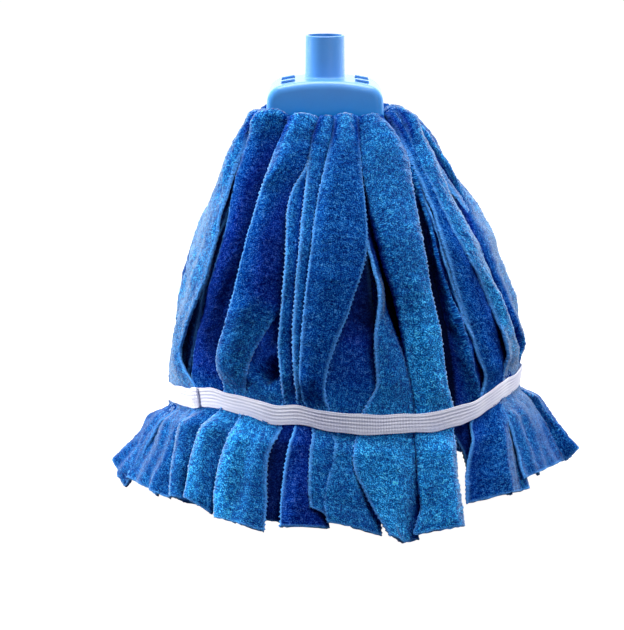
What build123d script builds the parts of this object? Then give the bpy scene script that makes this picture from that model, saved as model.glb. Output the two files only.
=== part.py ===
from build123d import *
import math
import os

# Microfibre strip mop head: a moulded handle socket, a snap-in strip retainer,
# two layers of terry strips sewn to a header tape, and a woven elastic band.
# Millimetres. Origin: centre of the socket's mouth. +Z points out of the mouth.

# ---- handle socket ----
BORE_R = 12.7            # takes a 25 mm handle
BORE_DEPTH = 50.0
TUBE_TOP_R = 14.5
TUBE_BASE_R = 14.9
TUBE_FLOOR = 3.0
INNER_TUBE_R = 15.2
HOOD_TOP_Z = -31.0
HOOD_LIP_Z = -57.0
HOOD_HALF_DEPTH = 31.0
HOOD_WALL = 2.4
HOOD_EDGE_R = 6.0
VAULT_R = 153.0          # arch of the shoulder across X
VAULT_HALF = 33.0        # half width of the large arch
SHOULDER_R = 12.7
WALL_DRAFT = 3.5         # degrees
TUBE_ROOT_R = 1.8
SEAM_R = 17.6            # the tube and the hood of the one moulding meet on this cylinder

# ---- snap windows and hooks ----
HOOK_X = 27.5
HOOK_Y = 12.0
WINDOW_X = 10.8
WINDOW_Y = 4.6
POST_X = 7.6
POST_Y = 2.4
HEAD_X = 10.0
HEAD_Y = 4.4
HEAD_Z = 1.5

# ---- strip retainer ----
CUP_A = 33.0             # half length
CUP_B = 21.0             # half depth
CUP_R = 14.0
CUP_WALL = 2.0
CUP_TOP_Z = -44.0
CUP_LOW_Z = -66.0
CUP_FLOOR = 3.0

# ---- header tape and its sewing ----
TAPE_IN = 0.3            # offsets from the retainer's wall
TAPE_OUT = 1.2
TAPE_TOP_Z = -46.0
TAPE_LOW_Z = -58.0
STITCHES = 28

# ---- elastic band ----
BAND_X = 15.0            # the bundle hangs a little to +X
BAND_IN_R = 134.2
BAND_T = 1.2
BAND_H = 15.0
BAND_Z = -266.5
BAND_TILT = 2.3          # degrees, +X side higher

# ---- strips ----
STRIP_W = 37.0           # width lying on the bundle, 40 mm when laid flat
STRIP_T = 3.2
FLOOR_Z = -346.0
HINGE_DROP = 3.5         # hinge line below the band's lower edge
HINGE_GAP = 1.5          # half gap between strip and tail
ACROSS = 4               # points across a strip

# name, bundle angle at the band, angle at the tail end, tail end radius, tail end height
# (angles from the front, -Y, towards +X; the list goes once round)
OUTER = [
    ("01", -70.0, -76.0, 176.0, -330.0),
    ("02", -42.0, -43.0, 165.0, -337.0),
    ("03", -12.0, -10.5, 160.0, -341.0),
    ("04", 12.3, 12.8, 158.0, -342.0),
    ("05", 27.8, 27.0, 159.0, -341.0),
    ("06", 56.0, 59.0, 168.0, -335.0),
    ("07", 80.0, 84.0, 177.0, -328.0),
    ("08", 106.0, 108.0, 171.0, -332.0),
    ("09", 132.5, 133.0, 165.0, -337.0),
    ("10", 158.8, 159.0, 160.0, -341.0),
    ("11", 185.0, 185.0, 158.0, -342.0),
    ("12", 211.0, 211.0, 159.0, -341.0),
    ("13", 237.5, 237.0, 164.0, -338.0),
    ("14", 263.8, 262.0, 170.0, -333.0),
]
OUTER_START = -77.0      # angle of the first strip in the socket, the others evenly on
# name, angle in the socket, angle at the band
INNER = [
    ("01", -62.0, -54.0), ("02", -45.0, -37.0), ("03", -28.0, -22.0), ("04", -11.0, -8.0), ("05", 7.0, 6.0),
    ("06", 40.0, 43.0), ("07", 66.0, 69.0), ("08", 92.0, 95.3), ("09", 118.0, 121.7), ("10", 144.0, 148.0),
    ("11", 170.5, 174.3), ("12", 196.5, 200.7), ("13", 222.5, 227.0), ("14", 248.5, 253.3), ("15", 274.0, 279.7),
]

# centre surface of each layer: height, half length, half depth, corner radius, X shift, thickness, share of the way to the band angle
OUTER_LEVELS = [
    (-45.0, 38.9, 26.9, 19.9, 0.0, 2.4, 0.0),
    (-57.5, 38.9, 26.9, 19.9, 0.0, 2.4, 0.0),
    (-61.0, 42.0, 30.5, 23.5, 0.5, 2.4, 0.0),
    (-63.5, 49.0, 39.0, 32.0, 1.5, 2.6, 0.05),
    (-67.5, 57.0, 49.0, 44.0, 3.0, 3.0, 0.1),
    (-80.0, 68.0, 62.5, 61.0, 6.5, 3.2, 0.2),
    (-100.0, 81.5, 79.0, 79.0, 8.7, 3.2, 0.4),
    (-120.0, 93.0, 92.0, 92.0, 10.9, 3.2, 0.6),
    (-145.0, 107.0, 106.5, 106.5, 13.3, 3.2, 0.8),
    (-175.0, 117.0, 117.0, 117.0, 14.7, 3.2, 1.0),
    (-210.0, 125.5, 125.5, 125.5, 16.0, 3.2, 1.0),
    (-243.0, 130.5, 130.5, 130.5, 15.5, 3.2, 1.0),
]
OUTER_HINGE_R = 132.0
INNER_LEVELS = [
    (-45.0, 36.0, 24.0, 17.0, 0.0, 2.2, 0.0),
    (-60.0, 36.0, 24.0, 17.0, 0.0, 2.2, 0.0),
    (-65.5, 38.5, 26.8, 20.0, 0.5, 2.2, 0.0),
    (-70.0, 45.0, 35.0, 28.0, 1.5, 2.4, 0.05),
    (-75.0, 52.5, 44.5, 40.0, 3.0, 2.8, 0.1),
    (-87.0, 63.5, 58.5, 57.5, 6.3, 3.0, 0.2),
    (-106.0, 76.5, 74.5, 74.5, 8.9, 3.2, 0.4),
    (-126.0, 88.0, 87.0, 87.0, 11.2, 3.2, 0.6),
    (-150.0, 101.0, 100.5, 100.5, 13.4, 3.2, 0.8),
    (-180.0, 110.5, 110.5, 110.5, 14.8, 3.2, 1.0),
    (-212.0, 118.2, 118.2, 118.2, 16.0, 3.2, 1.0),
    (-246.0, 123.0, 123.0, 123.0, 15.5, 3.2, 1.0),
    (-278.0, 125.5, 125.5, 125.5, 15.0, 3.2, 1.0),
    (-312.0, 130.0, 130.0, 130.0, 15.0, 3.2, 1.0),
    (FLOOR_Z, 136.0, 136.0, 136.0, 15.0, 3.2, 1.0),
]


def ring_length(a, b, r):
    return 4 * (a - r) + 4 * (b - r) + 2 * math.pi * r


def ring_point(u, a, b, r):
    """Point at share u of a rounded rectangle's outline, from the front centre towards +X."""
    s = (u % 1.0) * ring_length(a, b, r)
    quarter = math.pi * r / 2
    runs = [
        ("line", (0.0, -b), (1.0, 0.0), a - r),
        ("arc", (a - r, -b + r), -90.0, quarter),
        ("line", (a, -b + r), (0.0, 1.0), 2 * (b - r)),
        ("arc", (a - r, b - r), 0.0, quarter),
        ("line", (a - r, b), (-1.0, 0.0), 2 * (a - r)),
        ("arc", (-a + r, b - r), 90.0, quarter),
        ("line", (-a, b - r), (0.0, -1.0), 2 * (b - r)),
        ("arc", (-a + r, -b + r), 180.0, quarter),
        ("line", (-a + r, -b), (1.0, 0.0), a - r),
    ]
    for i, (kind, p, d, length) in enumerate(runs):
        if s <= length or i == len(runs) - 1:
            if kind == "line":
                return p[0] + d[0] * s, p[1] + d[1] * s
            t = math.radians(d) + (s / r if r > 0 else 0.0)
            return p[0] + r * math.cos(t), p[1] + r * math.sin(t)
        s -= length
    return 0.0, -b


def sub(p, q):
    return (p[0] - q[0], p[1] - q[1], p[2] - q[2])


def cross(p, q):
    return (p[1] * q[2] - p[2] * q[1], p[2] * q[0] - p[0] * q[2], p[0] * q[1] - p[1] * q[0])


def unit(p):
    n = math.sqrt(p[0] ** 2 + p[1] ** 2 + p[2] ** 2)
    return (p[0] / n, p[1] / n, p[2] / n)


def slab(rows, thick, top_z=None, low_z=None):
    """Closed flat-faced solid of a strip: rows of centre points and a thickness per row."""
    n, m = len(rows), len(rows[0])
    outer, inner = [], []
    for i in range(n):
        ro, ri = [], []
        for j in range(m):
            along = sub(rows[min(i + 1, n - 1)][j], rows[max(i - 1, 0)][j])
            across = sub(rows[i][min(j + 1, m - 1)], rows[i][max(j - 1, 0)])
            k = unit(cross(along, across))
            h = thick[i] / 2
            p = rows[i][j]
            o = [p[0] + k[0] * h, p[1] + k[1] * h, p[2] + k[2] * h]
            q = [p[0] - k[0] * h, p[1] - k[1] * h, p[2] - k[2] * h]
            for z, at in ((top_z, 0), (low_z, n - 1)):
                if z is not None and i == at:
                    o[2] = q[2] = z
            ro.append(tuple(o))
            ri.append(tuple(q))
        outer.append(ro)
        inner.append(ri)
    tris = []

    def quad(p, q, r, s):
        tris.append((p, q, r))
        tris.append((p, r, s))

    for i in range(n - 1):
        for j in range(m - 1):
            quad(outer[i][j], outer[i + 1][j], outer[i + 1][j + 1], outer[i][j + 1])
            quad(inner[i][j], inner[i][j + 1], inner[i + 1][j + 1], inner[i + 1][j])
        quad(outer[i][0], inner[i][0], inner[i + 1][0], outer[i + 1][0])
        quad(outer[i][-1], outer[i + 1][-1], inner[i + 1][-1], inner[i][-1])
    for j in range(m - 1):
        quad(outer[0][j], outer[0][j + 1], inner[0][j + 1], inner[0][j])
        quad(outer[-1][j], inner[-1][j], inner[-1][j + 1], outer[-1][j + 1])
    faces = [Face(Wire.make_polygon([Vector(*p) for p in t], close=True)) for t in tris]
    body = Solid(Shell(faces))
    return body if body.volume > 0 else body.fix()


def row_at(u, width, level):
    z, a, b, r, shift = level[:5]
    span = width / ring_length(a, b, r)
    pts = []
    for j in range(ACROSS):
        x, y = ring_point(u + span * (j / (ACROSS - 1) - 0.5), a, b, r)
        pts.append((x + shift, y, z))
    return pts


def widths(shares, length):
    """Widths that keep a layer's strips side by side, at most the full width."""
    out = []
    for i, u in enumerate(shares):
        left = (u - shares[i - 1]) % 1.0
        right = (shares[(i + 1) % len(shares)] - u) % 1.0
        out.append(min(STRIP_W, 0.9 * min(left, right) * length))
    return out


def hinge_z(angle):
    low = BAND_Z - BAND_H / 2
    return low + (BAND_IN_R * math.tan(math.radians(BAND_TILT))) * math.sin(math.radians(angle)) - HINGE_DROP


def hood_profile(t, low):
    """Front outline of the hood, moved inwards by t, closed at height low."""
    a = math.radians(WALL_DRAFT)
    top_c = (0.0, HOOD_TOP_Z - VAULT_R)
    start = math.asin(VAULT_HALF / VAULT_R)
    arc_p = (VAULT_HALF, top_c[1] + VAULT_R * math.cos(start))
    sc = (arc_p[0] - SHOULDER_R * math.sin(start), arc_p[1] - SHOULDER_R * math.cos(start))
    rt, rs = VAULT_R - t, SHOULDER_R - t
    p1 = (rt * math.sin(start), top_c[1] + rt * math.cos(start))
    mid = (start + math.pi / 2 - a) / 2
    p2 = (sc[0] + rs * math.sin(mid), sc[1] + rs * math.cos(mid))
    p3 = (sc[0] + rs * math.cos(a), sc[1] + rs * math.sin(a))
    p4 = (p3[0] + (p3[1] - low) * math.tan(a), low)
    m = lambda p: (-p[0], p[1])
    with BuildLine(Plane.XZ) as outline:
        ThreePointArc(m(p1), (0.0, top_c[1] + rt), p1)
        ThreePointArc(p1, p2, p3)
        Line(p3, p4)
        Line(p4, m(p4))
        Line(m(p4), m(p3))
        ThreePointArc(m(p3), m(p2), m(p1))
    return make_face(outline.line)


def hood(t, low):
    depth = HOOD_HALF_DEPTH - t
    block = extrude(hood_profile(t, low), depth, both=True)
    rim = [
        e for e in block.edges()
        if abs(abs(e.center().Y) - depth) < 1e-3 and not abs(e.center().Z - low) < 1e-3
    ]
    return fillet(rim, HOOD_EDGE_R - t)


def roof_z(x):
    return HOOD_TOP_Z - VAULT_R + math.sqrt(VAULT_R ** 2 - x ** 2)


def handle_socket():
    """The moulded socket in two bodies: the tube with its bore, and the hood round it."""
    tube = Pos(0, 0, -16.5) * Cone(TUBE_BASE_R, TUBE_TOP_R, 33.0)
    tube = fillet(tube.edges().sort_by(Axis.Z)[-1], 0.6)
    body = hood(0.0, HOOD_LIP_Z) + tube
    root = [
        e for e in body.edges()
        if max(abs(q) for p in e.positions([0, 0.25, 0.5, 0.75]) for q in (p.X, p.Y)) < 15.5
        and -33.5 < e.bounding_box().center().Z < -30.5
    ]
    body = fillet(root, TUBE_ROOT_R)
    body -= hood(HOOD_WALL, HOOD_LIP_Z - 2.0)
    end = BORE_DEPTH + TUBE_FLOOR
    body += Pos(0, 0, -(32.5 + end) / 2) * Cylinder(INNER_TUBE_R, end - 32.5)
    body -= Pos(0, 0, -BORE_DEPTH / 2 + 1.0) * Cylinder(BORE_R, BORE_DEPTH + 2.0)
    for sx in (-1, 1):
        for sy in (-1, 1):
            body -= Pos(sx * HOOK_X, sy * HOOK_Y, -35.0) * Box(WINDOW_X, WINDOW_Y, 10.0)
    core = Pos(0, 0, -30.0) * Cylinder(SEAM_R, 80.0)
    return body & core, body - core


def strip_retainer():
    cup = Pos(0, 0, CUP_LOW_Z) * extrude(
        RectangleRounded(2 * CUP_A, 2 * CUP_B, CUP_R), CUP_TOP_Z - CUP_LOW_Z
    )
    cup = fillet(cup.faces().sort_by(Axis.Z)[0].edges(), 2.0)
    cup -= Pos(0, 0, CUP_LOW_Z + CUP_FLOOR) * extrude(
        RectangleRounded(2 * (CUP_A - CUP_WALL), 2 * (CUP_B - CUP_WALL), CUP_R - CUP_WALL),
        CUP_TOP_Z - CUP_LOW_Z,
    )
    low = CUP_LOW_Z + CUP_FLOOR - 1.0
    top = roof_z(HOOK_X) + 0.9
    slope = math.degrees(math.asin(HOOK_X / VAULT_R))
    for sx in (-1, 1):
        for sy in (-1, 1):
            cup += Pos(sx * HOOK_X, sy * HOOK_Y, (low + top) / 2) * Box(POST_X, POST_Y, top - low)
            head = Box(HEAD_X, HEAD_Y, HEAD_Z)
            head = fillet(head.faces().sort_by(Axis.Z)[-1].edges(), 0.6)
            cup += (
                Pos(sx * HOOK_X, sy * (HOOK_Y - POST_Y / 2 + HEAD_Y / 2), roof_z(HOOK_X) + 0.3 + HEAD_Z / 2)
                * Rot(0, sx * slope, 0)
                * head
            )
    return cup


def header_tape():
    ring = lambda d: RectangleRounded(2 * (CUP_A + d), 2 * (CUP_B + d), CUP_R + d)
    return Pos(0, 0, TAPE_LOW_Z) * extrude(ring(TAPE_OUT) - ring(TAPE_IN), TAPE_TOP_Z - TAPE_LOW_Z)


def header_stitching():
    d = (TAPE_IN + TAPE_OUT) / 2
    a, b, r = CUP_A + d, CUP_B + d, CUP_R + d
    out = []
    for i in range(STITCHES):
        u = (i + 0.5) / STITCHES
        x, y = ring_point(u, a, b, r)
        x1, y1 = ring_point(u + 0.005, a, b, r)
        x0, y0 = ring_point(u - 0.005, a, b, r)
        turn = math.degrees(math.atan2(y1 - y0, x1 - x0))
        out.append(Pos(x, y, TAPE_TOP_Z + 0.6) * Rot(0, 0, turn) * Box(4.0, 0.6, 0.6))
    return Compound(children=out)


def band_place():
    return Pos(BAND_X, 0, BAND_Z) * Rot(0, -BAND_TILT, 0)


def elastic_band():
    ring = Cylinder(BAND_IN_R + BAND_T, BAND_H) - Cylinder(BAND_IN_R, BAND_H + 2)
    return band_place() * ring


def band_seam():
    out = []
    r = BAND_IN_R + BAND_T + 0.05 + 0.25
    for row in (-2.2, 2.2):
        for k in range(4):
            turn = -58.0 + math.degrees(row / r)
            out.append(band_place() * Rot(0, 0, turn) * Pos(0, -r, -4.8 + 3.2 * k) * Box(0.7, 0.5, 2.4))
    return Compound(children=out)


def main():
    os.makedirs("parts", exist_ok=True)
    tube, shell = handle_socket()
    export_step(tube, "parts/handle_socket.step")
    export_step(shell, "parts/socket_hood.step")
    export_step(strip_retainer(), "parts/strip_retainer.step")
    export_step(header_tape(), "parts/header_tape.step")
    export_step(header_stitching(), "parts/header_stitching.step")
    export_step(elastic_band(), "parts/elastic_band.step")
    export_step(band_seam(), "parts/band_seam_stitching.step")

    n = len(OUTER)
    start = [(OUTER_START + 360.0 * i / n) / 360.0 for i in range(n)]
    rows = [[] for _ in range(n)]
    for level in OUTER_LEVELS:
        shares = [s + (OUTER[i][1] / 360.0 - s) * level[6] for i, s in enumerate(start)]
        wide = widths(shares, ring_length(*level[1:4]))
        for i in range(n):
            rows[i].append(row_at(shares[i], wide[i], level))
    thick = [level[5] for level in OUTER_LEVELS] + [STRIP_T]
    round_band = widths([o[1] / 360.0 for o in OUTER], 2 * math.pi * OUTER_HINGE_R)
    for i, (name, band, end, end_r, end_z) in enumerate(OUTER):
        hz = hinge_z(band)
        last = row_at(band / 360.0, round_band[i], (hz + HINGE_GAP, OUTER_HINGE_R, OUTER_HINGE_R, OUTER_HINGE_R, BAND_X))
        strip = slab(rows[i] + [last], thick, top_z=OUTER_LEVELS[0][0])
        export_step(strip, f"parts/outer_strip_{name}.step")
        tail = []
        steps = (0.0, 0.35, 0.7, 1.0)
        for k, s in enumerate(steps):
            r = OUTER_HINGE_R + 0.4 + (end_r - OUTER_HINGE_R - 0.4) * s
            z = hz - HINGE_GAP + (end_z - hz + HINGE_GAP) * s
            a = band + (end - band) * s
            tail.append(row_at(a / 360.0, round_band[i], (z, r, r, r, BAND_X)))
        export_step(slab(tail, [STRIP_T] * len(steps)), f"parts/outer_strip_{name}_tail.step")
        mid = (rows[i] + [last] + tail)
        length = sum(
            math.dist(mid[k][1], mid[k + 1][1]) for k in range(len(mid) - 1)
        )
        hx = BAND_X + OUTER_HINGE_R * math.sin(math.radians(band))
        hy = -OUTER_HINGE_R * math.cos(math.radians(band))
        print(f"outer {name}: length {length:.1f}, width {round_band[i]:.1f}, hinge {hx:.2f} {hy:.2f} {hz:.2f}")

    m = len(INNER)
    start = [s[1] / 360.0 for s in INNER]
    rows = [[] for _ in range(m)]
    for level in INNER_LEVELS:
        shares = [s + (INNER[i][2] / 360.0 - s) * level[6] for i, s in enumerate(start)]
        wide = widths(shares, ring_length(*level[1:4]))
        for i in range(m):
            rows[i].append(row_at(shares[i], wide[i], level))
    thick = [level[5] for level in INNER_LEVELS]
    for i, (name, _, _) in enumerate(INNER):
        strip = slab(rows[i], thick, top_z=INNER_LEVELS[0][0], low_z=FLOOR_Z)
        export_step(strip, f"parts/inner_strip_{name}.step")
        length = sum(math.dist(rows[i][k][1], rows[i][k + 1][1]) for k in range(len(rows[i]) - 1))
        print(f"inner {name}: length {length:.1f}")


main()
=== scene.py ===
import math
import bpy
import numpy as np
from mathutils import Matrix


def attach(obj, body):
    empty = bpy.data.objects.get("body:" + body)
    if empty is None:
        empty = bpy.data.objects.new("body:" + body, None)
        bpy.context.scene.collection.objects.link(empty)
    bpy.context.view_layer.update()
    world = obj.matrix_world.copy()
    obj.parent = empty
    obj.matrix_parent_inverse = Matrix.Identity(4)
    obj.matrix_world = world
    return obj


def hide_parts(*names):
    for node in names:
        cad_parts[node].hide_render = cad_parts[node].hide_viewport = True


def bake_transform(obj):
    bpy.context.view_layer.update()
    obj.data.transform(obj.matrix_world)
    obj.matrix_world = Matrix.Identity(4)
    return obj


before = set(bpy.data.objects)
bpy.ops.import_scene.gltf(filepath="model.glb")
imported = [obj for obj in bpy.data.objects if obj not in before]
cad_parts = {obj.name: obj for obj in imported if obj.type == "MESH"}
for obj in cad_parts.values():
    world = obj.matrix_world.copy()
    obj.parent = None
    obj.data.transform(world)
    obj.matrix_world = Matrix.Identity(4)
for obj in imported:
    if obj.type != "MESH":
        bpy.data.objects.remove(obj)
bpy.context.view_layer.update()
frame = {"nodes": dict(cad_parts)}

MM = 0.001
IMG_W, IMG_H = 624, 630

# ------------------------------------------------------------------ camera
CAM = np.array([-9.659, -1944.58, 176.45])      # mm
PITCH = math.radians(11.3)
FOCAL = 2613.0                                   # pixels
CX, CY = 312.0, 315.0

cam_data = bpy.data.cameras.new("camera")
cam = bpy.data.objects.new("camera", cam_data)
bpy.context.scene.collection.objects.link(cam)
cam.location = tuple(CAM * MM)
cam.rotation_euler = (math.radians(90.0) - PITCH, 0.0, 0.0)
cam_data.sensor_width = 36.0
cam_data.sensor_fit = "AUTO"
cam_data.lens = FOCAL * 36.0 / IMG_H
cam_data.clip_start = 0.05
cam_data.clip_end = 60.0
bpy.context.scene.camera = cam


def pixel_ray(u, v):
    """Direction of the view ray through a point of the image."""
    x = (u - CX) / FOCAL
    y = (CY - v) / FOCAL
    d = np.array([x, math.cos(PITCH) + y * math.sin(PITCH), -math.sin(PITCH) + y * math.cos(PITCH)])
    return d


# ------------------------------------------------------------------ bundle surface (mm)
# height, half width, X centre, half depth in front
BELL = np.array([
    (-50.0, 50.0, 0.5, 38.0),
    (-58.0, 55.0, 1.2, 42.5),
    (-62.0, 58.7, 1.9, 46.5),
    (-70.0, 63.4, 5.2, 54.0),
    (-80.0, 70.0, 6.8, 63.0),
    (-90.0, 77.5, 7.7, 71.5),
    (-100.0, 83.5, 8.7, 79.0),
    (-120.0, 95.1, 10.9, 93.0),
    (-140.0, 107.0, 13.3, 106.0),
    (-160.0, 115.3, 14.4, 115.0),
    (-180.0, 120.3, 14.9, 120.3),
    (-200.0, 125.3, 16.2, 125.3),
    (-220.0, 129.4, 16.8, 129.4),
    (-240.0, 132.4, 16.6, 132.6),
    (-255.0, 133.6, 15.4, 133.8),
    (-265.0, 133.8, 15.0, 134.0),
    (-275.0, 136.5, 15.0, 136.5),
    (-290.0, 144.5, 15.2, 144.5),
    (-310.0, 155.0, 15.4, 155.0),
    (-330.0, 164.0, 15.5, 164.0),
    (-346.0, 170.5, 15.5, 170.5),
    (-400.0, 188.0, 15.5, 188.0),
])


def bell(z):
    zz = BELL[::-1, 0]
    a = np.interp(z, zz, BELL[::-1, 1])
    c = np.interp(z, zz, BELL[::-1, 2])
    b = np.interp(z, zz, BELL[::-1, 3])
    return a, c, b


SAMPLE_Y = np.linspace(-215.0, 60.0, 1101)


def lift(u, v, delta):
    """Point where the view ray meets the bundle's surface moved outwards by delta, or the nearest point to it."""
    d = pixel_ray(u, v)
    t = (SAMPLE_Y - CAM[1]) / d[1]
    x = CAM[0] + d[0] * t
    z = CAM[2] + d[2] * t
    a, c, b = bell(z)
    f = np.sqrt(((x - c) / (a + delta)) ** 2 + (SAMPLE_Y / (b + delta)) ** 2) - 1.0
    hit = np.nonzero(f <= 0)[0]
    if len(hit) and hit[0] > 0:
        i = hit[0]
        k = f[i - 1] / (f[i - 1] - f[i])
        tt = t[i - 1] + (t[i] - t[i - 1]) * k
    else:
        tt = t[int(np.argmin(f))]
    return CAM + d * tt


def ring_length(a, b, r):
    return 4 * (a - r) + 4 * (b - r) + 2 * math.pi * r


def ring_point(u, a, b, r):
    """Point at share u of a rounded rectangle's outline, from the front centre towards +X."""
    s = (u % 1.0) * ring_length(a, b, r)
    q = math.pi * r / 2
    runs = (
        (0, (0.0, -b), (1.0, 0.0), a - r),
        (1, (a - r, -b + r), -90.0, q),
        (0, (a, -b + r), (0.0, 1.0), 2 * (b - r)),
        (1, (a - r, b - r), 0.0, q),
        (0, (a - r, b), (-1.0, 0.0), 2 * (a - r)),
        (1, (-a + r, b - r), 90.0, q),
        (0, (-a, b - r), (0.0, -1.0), 2 * (b - r)),
        (1, (-a + r, -b + r), 180.0, q),
        (0, (-a + r, -b), (1.0, 0.0), a - r),
    )
    for i, (kind, p, d, n) in enumerate(runs):
        if s <= n or i == len(runs) - 1:
            if kind == 0:
                return p[0] + d[0] * s, p[1] + d[1] * s
            t = math.radians(d) + (s / r if r > 0 else 0.0)
            return p[0] + r * math.cos(t), p[1] + r * math.sin(t)
        s -= n
    return 0.0, -b


RING_TABLE = np.array([ring_point(i / 1440.0, 33.0 + 22.0, 21.0 + 22.0, 14.0 + 22.0) for i in range(1440)])


def ring_share(p):
    """Share of the collar's outline nearest to a point."""
    d = np.hypot(RING_TABLE[:, 0] - p[0], RING_TABLE[:, 1] - p[1])
    return int(np.argmin(d)) / 1440.0


# ------------------------------------------------------------------ elastic band path
# angle from the front towards +X, distance from the ring's nominal radius
BAND_R0 = 134.9
BAND_DENT = np.array([
    (-180, 0), (-130, 0), (-100, 0), (-88, 0), (-66, -6), (-36, -9.5), (-23, -8.5), (-6.5, -3), (7.5, 3.5), (19, 5),
    (34.5, 2), (51, -4), (70, -6), (88, 0), (100, 0), (130, 0), (180, 0)], float)
BAND_TOP = [(168, 385), (180, 387), (205, 386.5), (215, 388), (228, 391), (240, 395), (250, 399), (262, 403), (278, 406.5),
            (292, 404.5), (300, 404.5), (320, 409), (340, 414), (350, 416.5), (375, 415.5), (405, 414), (435, 411), (448, 409),
            (455, 406.5), (461, 407.5), (467, 403), (478, 401), (483, 398), (490, 391), (497, 384), (505, 379), (512, 374), (521, 365)]
BAND_LOW = [(170, 400), (178, 405), (190, 408), (213, 407.5), (240, 415), (268, 424), (280, 426), (300, 425), (325, 430),
            (352, 433.5), (380, 435.5), (410, 434.5), (440, 430.5), (455, 426.5), (470, 421.5), (482, 416), (492, 409), (502, 401),
            (512, 395), (520, 390), (523, 383)]


def px_line(points, u):
    p = np.array(points, float)
    return np.interp(u, p[:, 0], p[:, 1])


def band_mid_v(u):
    return 0.5 * (px_line(BAND_TOP, u) + px_line(BAND_LOW, u))


def band_radius(theta):
    return BAND_R0 + np.interp(theta, BAND_DENT[:, 0], BAND_DENT[:, 1])


def smooth(y, sigma):
    """Gaussian smoothing along the first axis, ends held."""
    n = int(max(1, round(sigma * 3)))
    k = np.exp(-0.5 * (np.arange(-n, n + 1) / sigma) ** 2)
    k /= k.sum()
    y = np.asarray(y, float)
    flat = y.reshape(len(y), -1)
    pad = np.concatenate([2 * flat[:1] - flat[1:n + 1][::-1] if len(flat) > n else np.repeat(flat[:1], n, 0), flat,
                          2 * flat[-1:] - flat[-n - 1:-1][::-1] if len(flat) > n else np.repeat(flat[-1:], n, 0)])
    out = np.stack([np.convolve(pad[:, j], k, mode="valid") for j in range(flat.shape[1])], 1)
    return out.reshape(y.shape)


def band_on_ring(u):
    """Angle and height where the view ray through the band's middle meets the band's ring."""
    d = pixel_ray(u, band_mid_v(u))
    yy = np.linspace(-150.0, 40.0, 1600)
    t = (yy - CAM[1]) / d[1]
    x = CAM[0] + d[0] * t
    z = CAM[2] + d[2] * t
    th = np.degrees(np.arctan2(x - 15.0, -yy))
    f = np.hypot(x - 15.0, yy) - band_radius(th)
    hit = np.nonzero(f <= 0)[0]
    i = hit[0] if len(hit) else int(np.argmin(f))
    return th[i], z[i]


def band_heights():
    pts = [band_on_ring(u) for u in np.linspace(172, 520, 88)]
    pts = np.array([p for p in pts if abs(p[0]) < 84])
    pts = pts[np.argsort(pts[:, 0])]
    grid = np.arange(-180.0, 181.0, 1.0)
    tilt = -266.5 + 134.9 * math.tan(math.radians(2.3)) * np.sin(np.radians(grid))
    front = np.interp(grid, pts[:, 0], pts[:, 1])
    w = np.clip((94.0 - np.abs(grid)) / 12.0, 0, 1)
    z = tilt * (1 - w) + front * w
    z = z + (1 - w) * (2.2 * np.sin(np.radians(grid * 5.0 + 40)) + 1.1 * np.sin(np.radians(grid * 9.0)))
    wrap = np.concatenate([z[:-1], z[:-1], z[:-1]])
    z = smooth(wrap, 2.2)[360:720]
    return grid[:-1], z


BAND_GRID, BAND_ZS = band_heights()


def band_z(theta):
    t = (np.asarray(theta) + 180.0) % 360.0 - 180.0
    return np.interp(t, np.append(BAND_GRID, 180.0), np.append(BAND_ZS, BAND_ZS[0]))


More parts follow.
